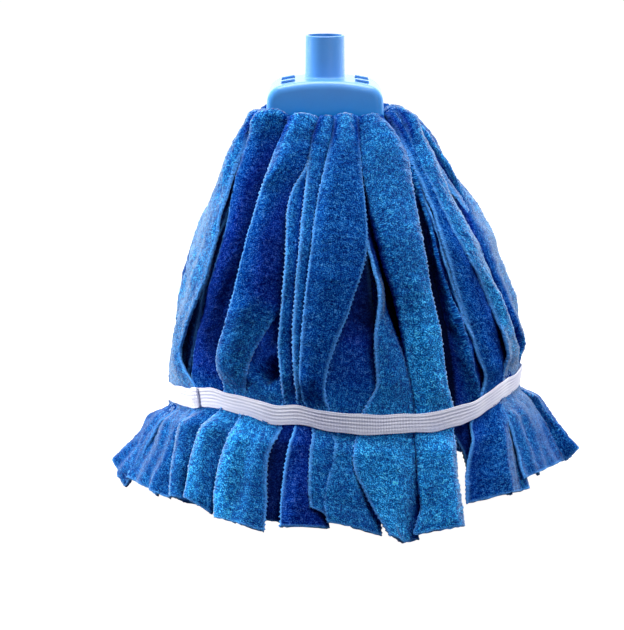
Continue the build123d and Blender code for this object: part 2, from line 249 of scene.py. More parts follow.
# ------------------------------------------------------------------ strips traced in the view
# rails: lines along a strip from its left to its right edge. Each is a row of image points from the collar to the
# tail end, and the line's distance from the bundle surface by image height.
# shading per rail: painted shade and painted light by image height, set by how deep in the bundle each rail lies: 0
# open, 1 covered (painted shade), 2 shut in (painted near-black shadow), below 0 painted paler (painted light).
# marks: ridges (+) and hollows (-) as image lines, height in mm, width in pixels.
TRACED = {
    "outer_14": dict(rails=[
        ([(247, 126), (238, 144), (229, 160), (219, 182), (209, 203), (200, 224), (190, 252), (185, 280), (181, 310), (177, 335),
          (172, 360), (169, 380), (168, 396), (158, 408), (147, 417), (141, 433), (127, 447), (114, 460)],
         [(120, -4), (200, -7), (380, -9), (410, -3), (500, -1)]),
        ([(256, 127), (250, 145), (243, 165), (235, 185), (226, 208), (219, 232), (210, 262), (203, 290), (197, 320), (191, 345),
          (187, 365), (183, 386), (178, 402), (170, 412), (158, 430), (148, 448), (138, 468), (126, 487)],
         [(120, -9), (200, -13), (380, -15), (410, -2), (500, -1)])],
        hide="l", full=46.0, deep=9.0, lap=14.0, painted_shading_by_rail=[[(120, 0.2), (380, 0.3), (420, 0.45)], [(120, 0.9), (200, 2.0), (385, 2.0), (420, 0.4), (500, 0.3)]], collar=0, bulge=2.0, skew=0.3),
    "outer_01": dict(rails=[
        ([(250, 124), (241, 143), (231, 158), (221, 180), (211, 201), (201, 221), (191, 250), (187, 268), (184, 290), (181, 310),
          (178, 330), (174, 350), (171, 367), (170, 380), (170, 395), (164, 405), (154, 425), (146, 445), (138, 462), (131, 479)],
         [(120, -3), (380, -4), (430, -1), (500, 0)]),
        ([(257, 121), (250, 135), (245, 150), (241, 158), (236, 170), (231, 185), (226, 200), (219, 222), (215, 240), (207, 270),
          (198, 297), (187, 327), (181, 343), (179, 357), (182, 371), (190, 384), (191, 400), (187, 415), (180, 435), (176, 460),
          (171, 480), (170, 499)],
         [(120, -1), (250, -1), (330, -1), (380, -2), (415, -3), (440, -6), (500, -6)])],
        hide="l", deep=-0.5, painted_shading_by_rail=[[(120, -0.1), (160, -0.6), (380, -0.6), (410, -0.1), (440, 0.3)], [(120, 0.3), (160, 0.0), (300, -0.1), (380, 0.0), (410, 0.2), (440, 0.35)]], collar=0, bulge=3.0, skew=-0.4),
    "inner_01": dict(rails=[
        ([(254, 128), (250.5, 138), (246, 150), (242, 162), (238, 175), (235, 188), (232, 203), (229, 218), (226, 230), (223, 240),
          (218, 262), (213, 280), (208, 295), (203, 312), (197, 338), (194, 355), (193, 375), (192.5, 388), (191, 400), (188, 412),
          (177, 432), (172, 460), (169, 490), (170, 497)],
         [(120, -1), (150, -3), (200, -6), (330, -10), (385, -5), (415, -1), (440, 2), (500, 2)]),
        ([(290, 124), (283, 139), (276.5, 155), (270.5, 173.6), (262, 196.4), (255.5, 219), (251, 233.6), (249.5, 240), (241, 273),
          (236, 297), (229.5, 323), (225.5, 338), (221.5, 353), (219.5, 373), (219.5, 387), (218, 400), (213, 412), (202, 432),
          (196, 460), (192, 485), (189, 503)],
         [(120, -3), (150, -10), (200, -15), (350, -17), (390, -9), (420, -6), (440, -7), (500, -7)])],
        hide="r", deep=4.0, painted_shading_by_rail=[[(120, 0.0), (200, 0.6), (280, 1.05), (330, 1.3), (360, 1.0), (400, 0.4), (430, 0.0)], [(120, 0.2), (140, 1.0), (180, 1.4), (350, 1.4), (400, 0.5), (430, 0.4)]], collar=0, bulge=5.0, skew=0.5, marks=[([(257, 127), (268, 121), (283, 116)], 2.5, 3.0)]),
    "outer_02": dict(rails=[
        ([(288, 124), (281, 138), (274, 155), (268, 173.6), (259.5, 196.4), (253, 219), (248.6, 233.6), (246.7, 240), (238.3, 273),
          (233, 297), (226.7, 323), (222.5, 338), (218.3, 353), (216.7, 373), (216.7, 387), (215, 400), (210, 412), (199, 432),
          (191, 460), (185, 497)],
         [(120, 0), (300, 1), (350, 0), (390, -0.5), (415, 0), (440, 2), (520, 2)]),
        ([(322, 122), (316, 139), (313, 152), (310.5, 162), (306, 172), (297, 185), (291.5, 199), (288.8, 213.6), (288.6, 233.6),
          (287.2, 265), (285, 290), (281, 309), (272, 317), (262, 332.5), (252, 350), (247, 363), (243.3, 378), (240.5, 392.5), (240, 410),
          (232, 432), (222, 460), (214, 490), (212, 514)],
         [(120, -2), (150, -6), (200, -9), (290, -9), (311, -6), (350, -2), (392, -3), (415, -3), (440, -5), (520, -5)]),
        ([(330, 122), (326, 139), (323, 152), (320.5, 162), (317, 172), (309, 185), (304.5, 199), (302.8, 213.6), (302.6, 233.6),
          (300.2, 265), (293, 290), (284, 311), (273.5, 318.5), (263.2, 333.5), (253.2, 350.7), (248.2, 363.5), (244.5, 378.2), (241.8, 392.5),
          (241.2, 410), (233.2, 432.3), (223.2, 460.3), (215.2, 490), (213.2, 514)],
         [(120, -4), (150, -11), (200, -16), (290, -15), (311, -9), (350, -4), (392, -4.5), (415, -5), (440, -7), (520, -7)])],
        painted_shading_by_rail=[[(120, 0.0), (190, 0.3), (240, 0.55), (310, 0.5), (360, 0.2), (400, 0.0), (430, -0.7)], [(120, 0.2), (150, 0.6), (200, 1.1), (240, 1.5), (295, 1.5), (320, 0.35), (380, 0.0), (430, 0.35)], [(120, 0.5), (150, 1.0), (200, 1.7), (295, 1.7), (320, 0.6), (380, 0.2), (430, 0.5)]], collar=0, bulge=5.5, skew=0.5, marks=[([(310, 146), (290, 164), (268, 183)], 2.6, 4.5), ([(325, 117), (314, 131), (309, 143)], -3.0, 4.0)]),
    "inner_02": dict(rails=[
        ([(287, 128), (276, 160), (268, 200), (262, 250), (256, 290), (247, 322), (238, 350), (233, 372), (232, 392), (233, 412),
          (229, 432), (219, 460), (213, 495), (214, 517)],
         [(120, -9), (300, -17), (360, -13), (385, -7), (410, -3), (440, 1.5), (540, 2)]),
        ([(318, 128), (311, 160), (305, 200), (302, 250), (299, 290), (295, 325), (292, 350), (290, 372), (288, 392), (285, 410),
          (279, 430), (268, 455), (265, 482), (266, 505), (264, 532)],
         [(120, -9), (300, -19), (370, -14), (395, -8), (415, -4), (440, -3), (540, -4)])],
        painted_shading_by_rail=[[(120, 1.0), (350, 0.9), (385, 0.1), (430, -0.9)], [(120, 1.0), (375, 1.0), (395, 0.4), (430, 0.2), (540, 0.4)]], collar=1, bulge=2.5, skew=0, marks=[([(254, 380), (266, 368), (281, 355)], 4.0, 3.5), ([(268, 377), (277, 368)], -9.0, 5.0)]),
    "inner_03": dict(rails=[
        ([(318, 126), (313, 140), (311, 152), (308.5, 162), (304, 172), (295, 185), (289.3, 199), (286.6, 213.6), (286.4, 233.6),
          (285, 265), (282.5, 295), (280, 323), (278, 347), (280, 367), (281.7, 390), (281, 405), (273, 425), (265, 450), (261, 480), (260, 521)],
         [(120, -4), (160, -2), (200, -1.0), (350, -1.5), (395, -2.5), (430, -8), (540, -11)]),
        ([(321, 126), (316, 140), (313, 152), (311, 166), (309, 182), (307, 198), (305, 216), (302.5, 238), (299.5, 273), (298, 295),
          (296, 320), (295.5, 343), (296, 367), (298, 387), (297, 405), (294, 424), (291, 442), (286, 465), (284, 500), (285, 523)],
         [(120, -5), (160, -5), (200, -6), (350, -7), (400, -6), (430, -11), (540, -14)])],
        hide="r", painted_shading_by_rail=[[(120, 0.2), (200, 0.0), (400, 0.1), (425, 0.9), (450, 1.8)], [(120, 0.8), (180, 1.2), (350, 1.2), (400, 0.8), (425, 1.0), (450, 1.5)]], collar=1, bulge=5.0, skew=0.5),
    "inner_04": dict(rails=[
        ([(319, 120), (314, 130), (311.5, 142), (310.3, 154), (308, 168), (306.4, 182), (304.3, 198), (302, 216), (300, 238),
          (296.7, 273), (295, 295), (293, 320), (292.5, 343), (293, 367), (295, 387), (294, 405), (292, 424), (290, 440), (285, 465),
          (281, 500), (280, 527)],
         [(120, 0), (200, 0), (350, 0), (395, -1), (430, 1), (540, 2)]),
        ([(337, 121), (334, 138), (330, 154), (326, 173.6), (321.7, 190.7), (318.8, 207.9), (316, 226.4), (314, 245), (310, 278),
          (307.5, 298), (305, 327), (303.3, 347), (301.5, 370), (301.5, 385), (304, 402), (312, 420), (317, 438), (315, 465), (318, 500), (324, 529)],
         [(120, -3), (180, -5), (350, -6), (400, -5), (430, -6), (540, -7)])],
        hide="r", full=33.0, deep=14.0, painted_shading_by_rail=[[(120, 0.0), (400, 0.1), (430, 0.85)], [(120, 0.3), (180, 0.8), (350, 0.9), (400, 0.7), (430, 1.1)]], collar=0, bulge=5.0, skew=0.5),
    "outer_03": dict(rails=[
        ([(335, 120), (332, 138), (328, 154), (323.6, 173.6), (319.3, 190.7), (316.4, 207.9), (313.6, 226.4), (311.7, 245), (307.5, 278),
          (305, 298), (302.5, 327), (300.8, 347), (299, 370), (299, 385), (301, 402), (307, 418), (312, 435), (309, 465), (308, 490), (310, 508)],
         [(120, 1), (300, 1), (390, -0.5), (430, 0), (530, 0)]),
        ([(357, 119), (359, 145), (361, 170), (365, 205), (367, 225), (367.5, 240), (366.7, 253), (361.7, 273), (355, 292), (346.7, 318),
          (338, 338), (331.7, 355), (326.5, 372), (324.5, 387), (326, 402), (335, 420), (341, 440), (340, 465), (334, 490), (330, 519)],
         [(120, 0), (220, -1), (300, -1.5), (390, -2), (430, -5.5), (530, -8)])],
        painted_shading_by_rail=[[(120, -0.3), (160, 0.4), (400, 0.65), (430, 0.0)], [(120, -0.3), (160, 0.5), (400, 0.65), (430, 0.6)]], collar=0, bulge=5, skew=0.2),
    "inner_05": dict(rails=[
        ([(338, 127), (335, 165), (335, 200), (337, 240), (337, 262), (331, 290), (321, 325), (313, 355), (309, 380), (313, 400),
          (325, 425), (335, 445), (328, 478), (323, 502), (327, 522)],
         [(120, -6), (250, -9), (330, -12), (375, -7), (395, -4), (430, 0), (540, 1)]),
        ([(356, 127), (359, 165), (362, 200), (365, 235), (367, 257), (368.5, 270), (371, 292), (375, 318), (379, 340), (381, 365),
          (381, 385), (379, 402), (375, 425), (374, 450), (375, 480), (380, 510), (382, 536)],
         [(120, -8), (250, -13), (330, -16), (370, -12), (395, -7), (430, -4), (540, -7)])],
        painted_shading_by_rail=[[(120, 0.8), (380, 0.75), (400, 0.4), (430, 0.0)], [(120, 1.2), (230, 1.6), (255, 2.0), (325, 2.0), (345, 1.0), (380, 0.8), (400, 0.5), (430, 0.3)]], collar=1, bulge=1.0, skew=0),
    "outer_04": dict(rails=[
        ([(350, 127), (354, 165), (359, 200), (365, 235), (368.5, 255), (372, 268), (376, 281), (376.7, 307), (375, 333), (376.7, 367),
          (378, 387), (370, 400), (361, 414), (356, 438), (352, 455), (355, 475), (366, 493), (379, 516), (390, 536)],
         [(120, -6), (235, -8), (285, -4), (350, -1.5), (395, -1), (430, 1), (550, 2.5)]),
        ([(362, 127), (365, 165), (368, 200), (371, 240), (374, 258), (379, 282), (381, 298), (385.5, 317), (393, 337), (401, 355),
          (406.7, 373), (409.5, 390), (410, 410), (409, 440), (409, 475), (408, 505), (406, 543)],
         [(120, -9), (200, -24), (255, -32), (285, -26), (317, -15), (355, -7), (390, -3), (430, -2.5), (550, -3)]),
        ([(363, 127), (366, 165), (369, 200), (372.5, 240), (376, 258), (380.5, 282), (382.5, 298), (387, 317), (394.5, 337), (402.3, 355),
          (408, 373), (411.5, 390), (415, 410), (420, 440), (424, 475), (424, 505), (419, 540)],
         [(120, -11), (200, -30), (255, -40), (285, -36), (317, -24), (355, -15), (390, -9), (430, -10), (550, -13)])],
        painted_shading_by_rail=[[(120, 1.4), (250, 1.2), (285, 0.0), (400, 0.0), (430, -0.5)], [(120, 1.6), (240, 1.8), (285, 1.2), (330, 0.5), (400, -0.1), (430, -0.8)], [(120, 2.0), (370, 2.0), (400, 1.4), (430, 1.6), (540, 1.8)]], collar=1, bulge=2.5, skew=0),
    "outer_05": dict(rails=[
        ([(358, 120), (359.5, 145), (362, 175), (364.5, 195), (369, 215), (372, 228), (375, 240), (383, 265), (392, 288), (397, 310),
          (401, 335), (404, 357), (409, 378), (413, 400), (415.5, 425), (414.5, 450), (417.5, 480), (420.5, 508), (413, 535)],
         [(120, -2), (200, -4), (240, -9), (355, -9), (400, -4), (430, -1.5), (540, -1.5)]),
        ([(360, 120), (362, 145), (365, 175), (368, 195), (374, 215), (379, 228), (383, 240), (390, 268), (398, 297), (404, 333),
          (408, 357), (412, 378), (416, 400), (418, 425), (417, 450), (420, 480), (423, 508), (416, 535)],
         [(120, 1.5), (220, 0), (270, -3), (330, -3), (395, -0.5), (430, 1.5), (540, 2)]),
        ([(382, 117), (391, 129), (400, 143), (408, 161), (411, 182), (414, 199), (419, 222), (424, 248), (428, 270), (431.4, 293),
          (439.3, 330), (443.6, 364), (446.4, 387), (452, 402), (454, 425), (455, 450), (457, 475), (462, 503), (464, 526)],
         [(120, 0), (250, -2), (330, -2), (390, -1.5), (430, -1), (540, -2)])],
        span=(1, 2), painted_shading_by_rail=[[(120, 0.4), (200, 0.8), (235, 2.0), (365, 2.0), (395, 0.8), (410, 0.8), (440, 1.6), (540, 1.6)], [(120, 0.25), (150, 0.0), (235, 0.2), (300, 0.2), (345, -0.5), (400, -0.5), (540, -0.6)], [(120, 0.3), (150, 0.1), (260, 0.0), (330, -0.9), (400, -0.6), (540, -0.5)]], collar=0, bulge=4.0, skew=-0.2, marks=[([(414, 285), (421, 330), (428, 365), (434, 395)], 2.6, 5.0), ([(406, 310), (411, 350), (417, 385)], -2.0, 4.5), ([(441, 440), (445, 480), (450, 520)], 2.2, 6.0)]),
    "inner_06": dict(rails=[
        ([(386, 124), (392, 150), (398, 178), (404, 205), (409, 228), (415, 245), (420, 265), (424, 293), (429, 310), (434, 336),
          (438, 364), (441, 390), (444, 410), (450, 430), (463, 452), (471, 480), (476, 497)],
         [(120, -5), (180, -12), (240, -18), (390, -18), (410, -14), (440, -12), (500, -12)]),
        ([(389, 125), (396, 150), (406, 176), (416, 199), (422.5, 222), (428.5, 248), (433.5, 270), (438, 293), (446.5, 330),
          (451.5, 364), (454.5, 387), (455, 410), (459, 430), (470, 452), (477, 480), (482, 497)],
         [(120, -4), (180, -10), (240, -15), (390, -15), (410, -12), (440, -11.5), (500, -12)]),
        ([(390, 125.5), (398, 150), (409, 176), (419.5, 199), (425.5, 222), (431, 248), (436, 270), (441, 293), (449.5, 330),
          (454.5, 364), (457.5, 387), (458, 410), (462, 430), (473, 452), (480, 480), (484.5, 497)],
         [(120, -4), (180, -9), (240, -13), (390, -13), (410, -11), (440, -11.5), (500, -12)]),
        ([(400, 130), (408, 150), (415, 172), (421, 196), (425, 211), (430, 225), (434, 240), (437, 257), (440.7, 271), (448, 290),
          (453.6, 307), (459.3, 323), (465, 341), (469.3, 356), (473, 373), (478, 386), (480, 396), (484, 412), (492, 432), (498, 455),
          (503, 480), (506, 495)],
         [(120, -2), (200, -3), (330, -2.5), (395, -4), (440, -10), (500, -12)]),
        ([(401.5, 130), (409.5, 150), (416.5, 172), (422.5, 196), (427, 211), (432, 225), (436, 240), (439, 257), (443, 271), (450, 289),
          (455.5, 305), (461, 320), (466.5, 336), (471, 350), (475, 370), (479.5, 386), (481.5, 396), (485, 412), (493, 432), (499, 455),
          (504, 480), (507, 495)],
         [(120, -4), (200, -8), (330, -8), (375, -8), (395, -7), (440, -12), (500, -13)]),
        ([(403, 130), (411, 150), (418, 172), (424, 196), (429, 211), (434, 225), (438, 238), (441, 250), (446, 268.6), (450.7, 283),
          (455.7, 297), (460.7, 311), (466.4, 324), (472, 335.7), (482, 347), (489, 360), (493, 374), (495, 386), (495, 397), (495, 412),
          (497, 432), (501, 455), (506, 480), (509, 495)],
         [(120, -3), (200, -3.5), (300, -3), (335, -2.5), (350, -8), (365, -12), (440, -13), (500, -14)])],
        painted_shading_by_rail=[[(120, 1.0), (180, 1.4), (215, 2.0), (400, 2.0), (430, 1.6)], [(120, 0.8), (180, 1.2), (215, 1.95), (400, 1.95), (430, 1.4)], [(120, 0.5), (180, 0.9), (215, 1.05), (400, 1.05), (430, 1.2)], [(120, 0.1), (240, 0.3), (390, 0.3), (430, 1.0)], [(120, 0.8), (200, 1.2), (390, 1.2), (430, 1.0)], [(120, 0.2), (240, 0.4), (400, 0.4), (430, 1.0)]], hide="l", full=59.0, deep=3.0, lap=12.0, low=0.05, collar=0, bulge=0.8, skew=0),
    "outer_06": dict(rails=[
        ([(388, 118), (397, 133), (405, 150), (412, 165), (419, 180), (424, 192), (429, 205), (435, 222), (439, 236), (444, 250),
          (448, 262), (452.5, 276), (458.5, 297), (466.8, 317), (475, 334), (479.3, 353), (484, 366), (488, 377), (486, 390), (482, 402),
          (476, 422), (470, 445), (467, 475), (470, 503)],
         [(120, -1), (200, -2), (350, -2), (395, -2), (430, 1), (510, 1.5)]),
        ([(398, 122), (407, 138), (413, 152), (419.5, 164), (427.5, 179), (434.5, 193), (442.5, 209), (450.5, 224), (459.5, 241), (468.5, 258),
          (474, 269), (483.5, 285), (492, 301), (497.5, 316), (502, 334), (508, 355), (511, 370), (508, 388), (504, 405), (505, 420), (512, 438), (518, 462), (526, 490)],
         [(120, -5), (180, -9), (340, -10), (375, -6), (395, -3), (430, -4), (510, -6)])],
        hide="r", deep=7.0, lap=13.0, painted_shading_by_rail=[[(120, 0.2), (200, 0.45), (390, 0.55), (430, 0.9), (500, 0.8)], [(120, 0.6), (180, 1.2), (350, 1.3), (390, 0.9), (430, 0.2), (500, 0.1)]], collar=0, marks=[([(497, 414), (497, 440), (499, 470), (502, 497)], 3.0, 7.0), ([(484, 416), (480, 445), (478, 480), (480, 502)], -3.0, 6.0)], bulge=4.5, skew=0.5),
    "inner_07": dict(rails=[
        ([(395, 113), (405, 131), (411, 148), (418, 163), (426, 178), (433, 192), (441, 208), (449, 223), (458, 240), (467, 257),
          (472.5, 268), (482, 284), (490.5, 300), (496, 315), (500.5, 333), (507, 355), (510, 370), (507, 388), (504, 405), (511, 430),
          (519, 455), (523, 479)],
         [(120, 0), (200, 0), (350, 0), (390, -2), (430, -0.5), (500, 0)]),
        ([(412, 125), (417.5, 134), (432, 156.4), (442, 176.4), (452, 198), (460.7, 216.4), (470.7, 236.4), (480.7, 258), (485.5, 266),
          (491.5, 278.6), (499.8, 297), (504, 310), (511, 330), (516.4, 350), (519, 366), (521, 386), (530, 402), (541, 420), (552, 440), (565, 460)],
         [(120, -1), (200, -2), (260, -3), (340, -4), (390, -4), (430, -5), (500, -5)])],
        hide="r", full=30.0, deep=4.0, lap=9.0, painted_shading_by_rail=[[(120, 0.0), (250, -0.2), (330, -0.5), (390, -0.1), (430, 0.35)], [(120, 0.1), (220, -0.2), (280, -0.6), (330, -0.7), (390, 0.1), (430, 0.5)]], collar=0, bulge=3.5, skew=0.2),
    "outer_07": dict(rails=[
        ([(401, 112), (413, 129), (424, 146), (432, 157), (442, 177), (452, 198), (460, 216), (469, 236), (480, 257),
          (485, 266), (491.5, 279), (500.5, 297), (504.5, 309), (509, 321), (513.5, 333), (516, 344), (517.5, 355), (518, 372), (520, 390),
          (529, 408), (544, 434), (557, 452), (566, 460)],
         [(120, -5), (160, -9), (240, -10), (280, -8), (310, -5), (350, -4), (390, -4), (430, -2), (500, -2)]),
        ([(402, 112), (418, 129), (431, 148), (438, 160), (449.5, 179), (459.5, 196.4), (469, 213.6), (471, 225), (476, 239), (484, 258),
          (488, 266), (494, 279), (502, 297), (506, 309), (511.5, 321), (517, 333), (520, 344), (520.5, 355), (519.5, 372), (521, 390), (530, 408),
          (545, 434), (558, 452), (567, 460)],
         [(120, -3), (160, -6), (215, -5), (260, -2), (310, 0), (350, -1), (390, -2), (430, -1), (500, -1)]),
        ([(405, 112), (413, 120), (423, 132), (432, 144), (441, 156), (451, 171), (461, 187), (471, 199), (481, 212), (490, 226),
          (496, 240), (499.5, 258), (503.5, 272), (509.5, 287), (513.5, 303), (517.5, 318), (520.5, 333), (522.5, 345), (523, 358), (523, 372),
          (528, 386), (545, 408), (562, 433), (577, 450)],
         [(120, -4), (350, -4), (390, -4), (430, -1), (500, -1)])],
        hide="r", deep=1.0, span=(1, 2), painted_shading_by_rail=[[(120, 0.8), (150, 2.0), (350, 2.0), (390, 0.6), (430, 0.3)], [(120, 0.5), (150, 0.9), (350, 0.9), (380, 0.4), (430, 0.5)], [(120, 0.0), (150, -0.3), (200, -0.6), (320, -0.6), (360, -0.3), (400, 0.2), (430, 0.4)]], collar=0, bulge=2.0, skew=0.2),
}

# strips seen only from the sides and the back:
# share of the collar, band angle, tail-end angle, tail-end radius, tail-end height, layer, seed
ROUND = {
    "outer_08": (103.0, 106.0, 109.0, 171.0, -332.0, 0, 11),
    "outer_09": (128.7, 132.5, 134.0, 165.0, -337.0, 0, 12),
    "outer_10": (154.4, 158.8, 158.0, 160.0, -341.0, 0, 13),
    "outer_11": (180.1, 185.0, 187.0, 158.0, -342.0, 0, 14),
    "outer_12": (205.9, 211.0, 210.0, 159.0, -341.0, 0, 15),
    "outer_13": (231.6, 237.5, 239.0, 164.0, -338.0, 0, 16),
    "inner_08": (90.0, 92.0, 96.0, 150.0, -336.0, 1, 21),
    "inner_09": (116.0, 119.5, 121.5, 147.0, -337.0, 1, 22),
    "inner_10": (142.0, 145.7, 146.0, 144.0, -345.0, 1, 23),
    "inner_11": (167.5, 172.0, 172.5, 143.0, -345.0, 1, 24),
    "inner_12": (193.5, 198.0, 198.5, 142.0, -345.0, 1, 25),
    "inner_13": (219.0, 224.3, 224.5, 143.0, -345.0, 1, 26),
    "inner_14": (246.5, 252.5, 256.0, 149.0, -344.0, 1, 27),
    "inner_15": (273.0, 277.0, 275.0, 150.0, -344.0, 1, 28),
}


def arc(points):
    return np.concatenate([[0.0], np.cumsum(np.linalg.norm(np.diff(points[:, :3], axis=0), axis=1))])


def resample(points, n):
    s = arc(points)
    t = np.linspace(0, s[-1], n)
    return np.stack([np.interp(t, s, points[:, j]) for j in range(points.shape[1])], 1)


def dense(px, step=4.0):
    p = np.array(px, float)
    s = arc(p)
    return resample(p, max(8, int(s[-1] / step) + 1))


def split_at_band(px):
    p = dense(px)
    over = np.nonzero(p[:, 1] >= np.array([band_mid_v(u) for u in p[:, 0]]))[0]
    i = int(over[0]) if len(over) else len(p) - 2
    i = min(max(i, 4), len(p) - 4)
    return p[:i + 1], p[i:]


def edge_points(px, knots):
    k = np.array(knots, float)
    return np.array([lift(u, v, np.interp(v, k[:, 0], k[:, 1])) for u, v in px])


# collar: distance from the retainer's outline and height, for the upper and the lower layer
COLLAR = (
    ((5.6, -47.0), (5.6, -55.0), (7.2, -60.4), (11.0, -62.0), (14.2, -58.6), (17.0, -56.2), (20.6, -57.2)),
    ((2.9, -47.0), (2.9, -58.0), (4.6, -64.0), (9.0, -66.0), (14.0, -65.0), (18.0, -63.6), (21.0, -63.0)),
)


def collar_points(first, layer):
    u = ring_share(first)
    out = []
    for d, z in COLLAR[layer]:
        x, y = ring_point(u, 33.0 + d, 21.0 + d, 14.0 + d)
        out.append((x, y, z))
    return np.array(out)


N_UP, N_TAIL = 230, 80


def traced_rails(spec):
    rails = []
    for k, (points, knots) in enumerate(spec["rails"]):
        up, tail = split_at_band(points)
        # painted shade and painted light knots of this rail
        painted_shading = np.array(spec.get("painted_shading_by_rail", [[(120, 0.0)]] * 9)[k], float)
        up3, tail3 = ([np.column_stack([edge_points(px, knots), np.interp(px[:, 1], painted_shading[:, 0], painted_shading[:, 1])]) for px in (up, tail)])
        top = collar_points(up3[0], spec["collar"])
        up3 = np.concatenate([np.column_stack([top, np.full(len(top), up3[0, 3])]), up3])
        rails.append(np.concatenate([resample(up3, N_UP), resample(tail3, N_TAIL)[1:]]))
    return rails


def round_edges(share, band, end, end_r, end_z, layer, seed):
    """Edges of a strip that follows the bundle all the way, from its place in the collar to its tail end."""
    rng = np.random.default_rng(seed)
    zs = [-63.0, -70.0, -80.0, -92.0, -106.0, -122.0, -140.0, -160.0, -182.0, -205.0, -228.0, -250.0, -266.0, -280.0, -296.0, -312.0]
    zs = [z for z in zs if z > end_z + 8] + [end_z]
    d_l = (-0.5, -7.5)[layer] + rng.uniform(-1, 1)
    d_r = (-7.0, -13.0)[layer] + rng.uniform(-1.5, 1.5)
    width = rng.uniform(39.0, 42.0)
    ph = rng.uniform(0, 6.28, 4)
    left, right = [], []
    for z in zs:
        a, c, b = bell(z)
        k = min(1.0, max(0.0, (-63.0 - z) / 110.0))
        k = k * k * (3 - 2 * k)
        ang = share + (band - share) * k
        low = max(0.0, (-268.0 - z) / (-268.0 - end_z))
        ang += (end - band) * low
        wide = (20.0 + (width - 20.0) * min(1.0, (-60.0 - z) / 75.0)) * (1.0 + 0.14 * low)
        wob_l = 2.6 * math.sin(z / 17.0 + ph[0]) + 1.6 * math.sin(z / 8.5 + ph[1])
        wob_r = 2.6 * math.sin(z / 18.0 + ph[2]) + 1.6 * math.sin(z / 9.0 + ph[3])
        if low > 0:
            r0 = 133.0 - (0, 6)[layer]
            a = b = r0 + (end_r - r0) * low + 1.0
            c = 15.0
        pinch = math.exp(-((z + 266.0) / 16.0) ** 2)
        for out, sgn, dd, wob in ((left, -1, d_l, wob_l), (right, 1, d_r, wob_r)):
            dd2 = dd * (1 - 0.35 * pinch) if low == 0 else dd * (1 - 0.6 * low)
            aa, bb = a + dd2, b + dd2
            rr = min(aa, bb) - 0.01
            per = ring_length(aa, bb, rr)
            u = ang / 360.0 + (sgn * wide * 0.5 + wob) / per
            x, y = ring_point(u, aa, bb, rr)
            out.append((x + c, y, z))
    edges = []
    for pts in (left, right):
        pts = np.array(pts)
        top = collar_points(pts[0] - np.array([bell(pts[0][2])[1], 0, 0]), layer)
        i = zs.index(-266.0)
        n_top = len(top)
        up3, tail3 = np.concatenate([top, pts[:i + 1]]), pts[i:]
        # painted shade on the covered right edge: 0.9 above the band, 0.45 on the tail; none on the left edge
        covered_edge_shade = (0.0, 0.9)[len(edges)]
        low = (0.0, 0.45)[len(edges)]
        up3 = np.column_stack([up3, np.interp(np.arange(len(up3)), [0, n_top, n_top + 4, len(up3) - 3, len(up3) - 1], [0.0, 0.3 * covered_edge_shade, covered_edge_shade, covered_edge_shade, low])])
        tail3 = np.column_stack([tail3, np.full(len(tail3), low)])
        edges.append(np.concatenate([resample(up3, N_UP), resample(tail3, N_TAIL)[1:]]))
    return edges


def tucked(rails, side, full, deep, lap, low):
    """Adds the covered part of a strip: round the bundle and inwards from one edge, until the strip has its width."""
    left, right = rails[0], rails[-1]
    base = right if side == "r" else left
    sgn = 1.0 if side == "r" else -1.0
    c = bell(base[:, 2])[1]
    ang = np.arctan2(base[:, 0] - c, -base[:, 1])
    rad = np.hypot(base[:, 0] - c, base[:, 1])
    seen = np.linalg.norm(right[:, :3] - left[:, :3], axis=1)
    z = base[:, 2]
    need = np.interp(-z, [60.0, 66.0, 140.0, 400.0], [0.0, 12.0, full, full])
    rest = np.maximum(need - seen, np.interp(-z, [60.0, 70.0, 120.0], [0.8, 3.0, lap]))
    rest = rest * np.interp(-z, [262.0, 280.0], [1.0, low])
    ang = ang + sgn * rest / rad
    rad = rad - deep * np.interp(-z, [60.0, 100.0], [0.0, 1.0]) * np.clip(rest / 12.0, 0.0, 1.0)
    # the covered part gets 0.4 more painted shade than the edge it continues
    edge = np.stack([c + rad * np.sin(ang), -rad * np.cos(ang), z, np.clip(base[:, 3] + 0.4, 0, 2)], 1)
    return [*rails, edge] if side == "r" else [edge, *rails]


def wave(x, y, seed, scale):
    """Smooth noise on a plane, about -1 to 1."""
    rng = np.random.default_rng(seed)
    out = np.zeros_like(x)
    for _ in range(7):
        ang = rng.uniform(0, 2 * math.pi)
        f = 2 * math.pi / (scale * rng.uniform(0.7, 1.5))
        out += np.sin((x * math.cos(ang) + y * math.sin(ang)) * f + rng.uniform(0, 6.28))
    return out / 3.2


def cinch(p, half):
    """Keeps cloth inside the elastic band where the band crosses it."""
    x, y, z = p[..., 0] - 15.0, p[..., 1], p[..., 2]
    th = np.degrees(np.arctan2(x, -y))
    rho = np.hypot(x, y)
    zb = band_z(th)
    lim = band_radius(th) - 1.3 - half
    dz = z - zb
    w = np.where(dz > 0, np.clip((30.0 - dz) / 22.0, 0, 1), np.clip((20.0 + dz) / 12.0, 0, 1))
    w = w * w * (3 - 2 * w)
    over = np.maximum(rho - lim, 0.0)
    rho2 = rho - over * w
    k = rho2 / rho
    out = p.copy()
    out[..., 0] = 15.0 + x * k
    out[..., 1] = y * k
    return out


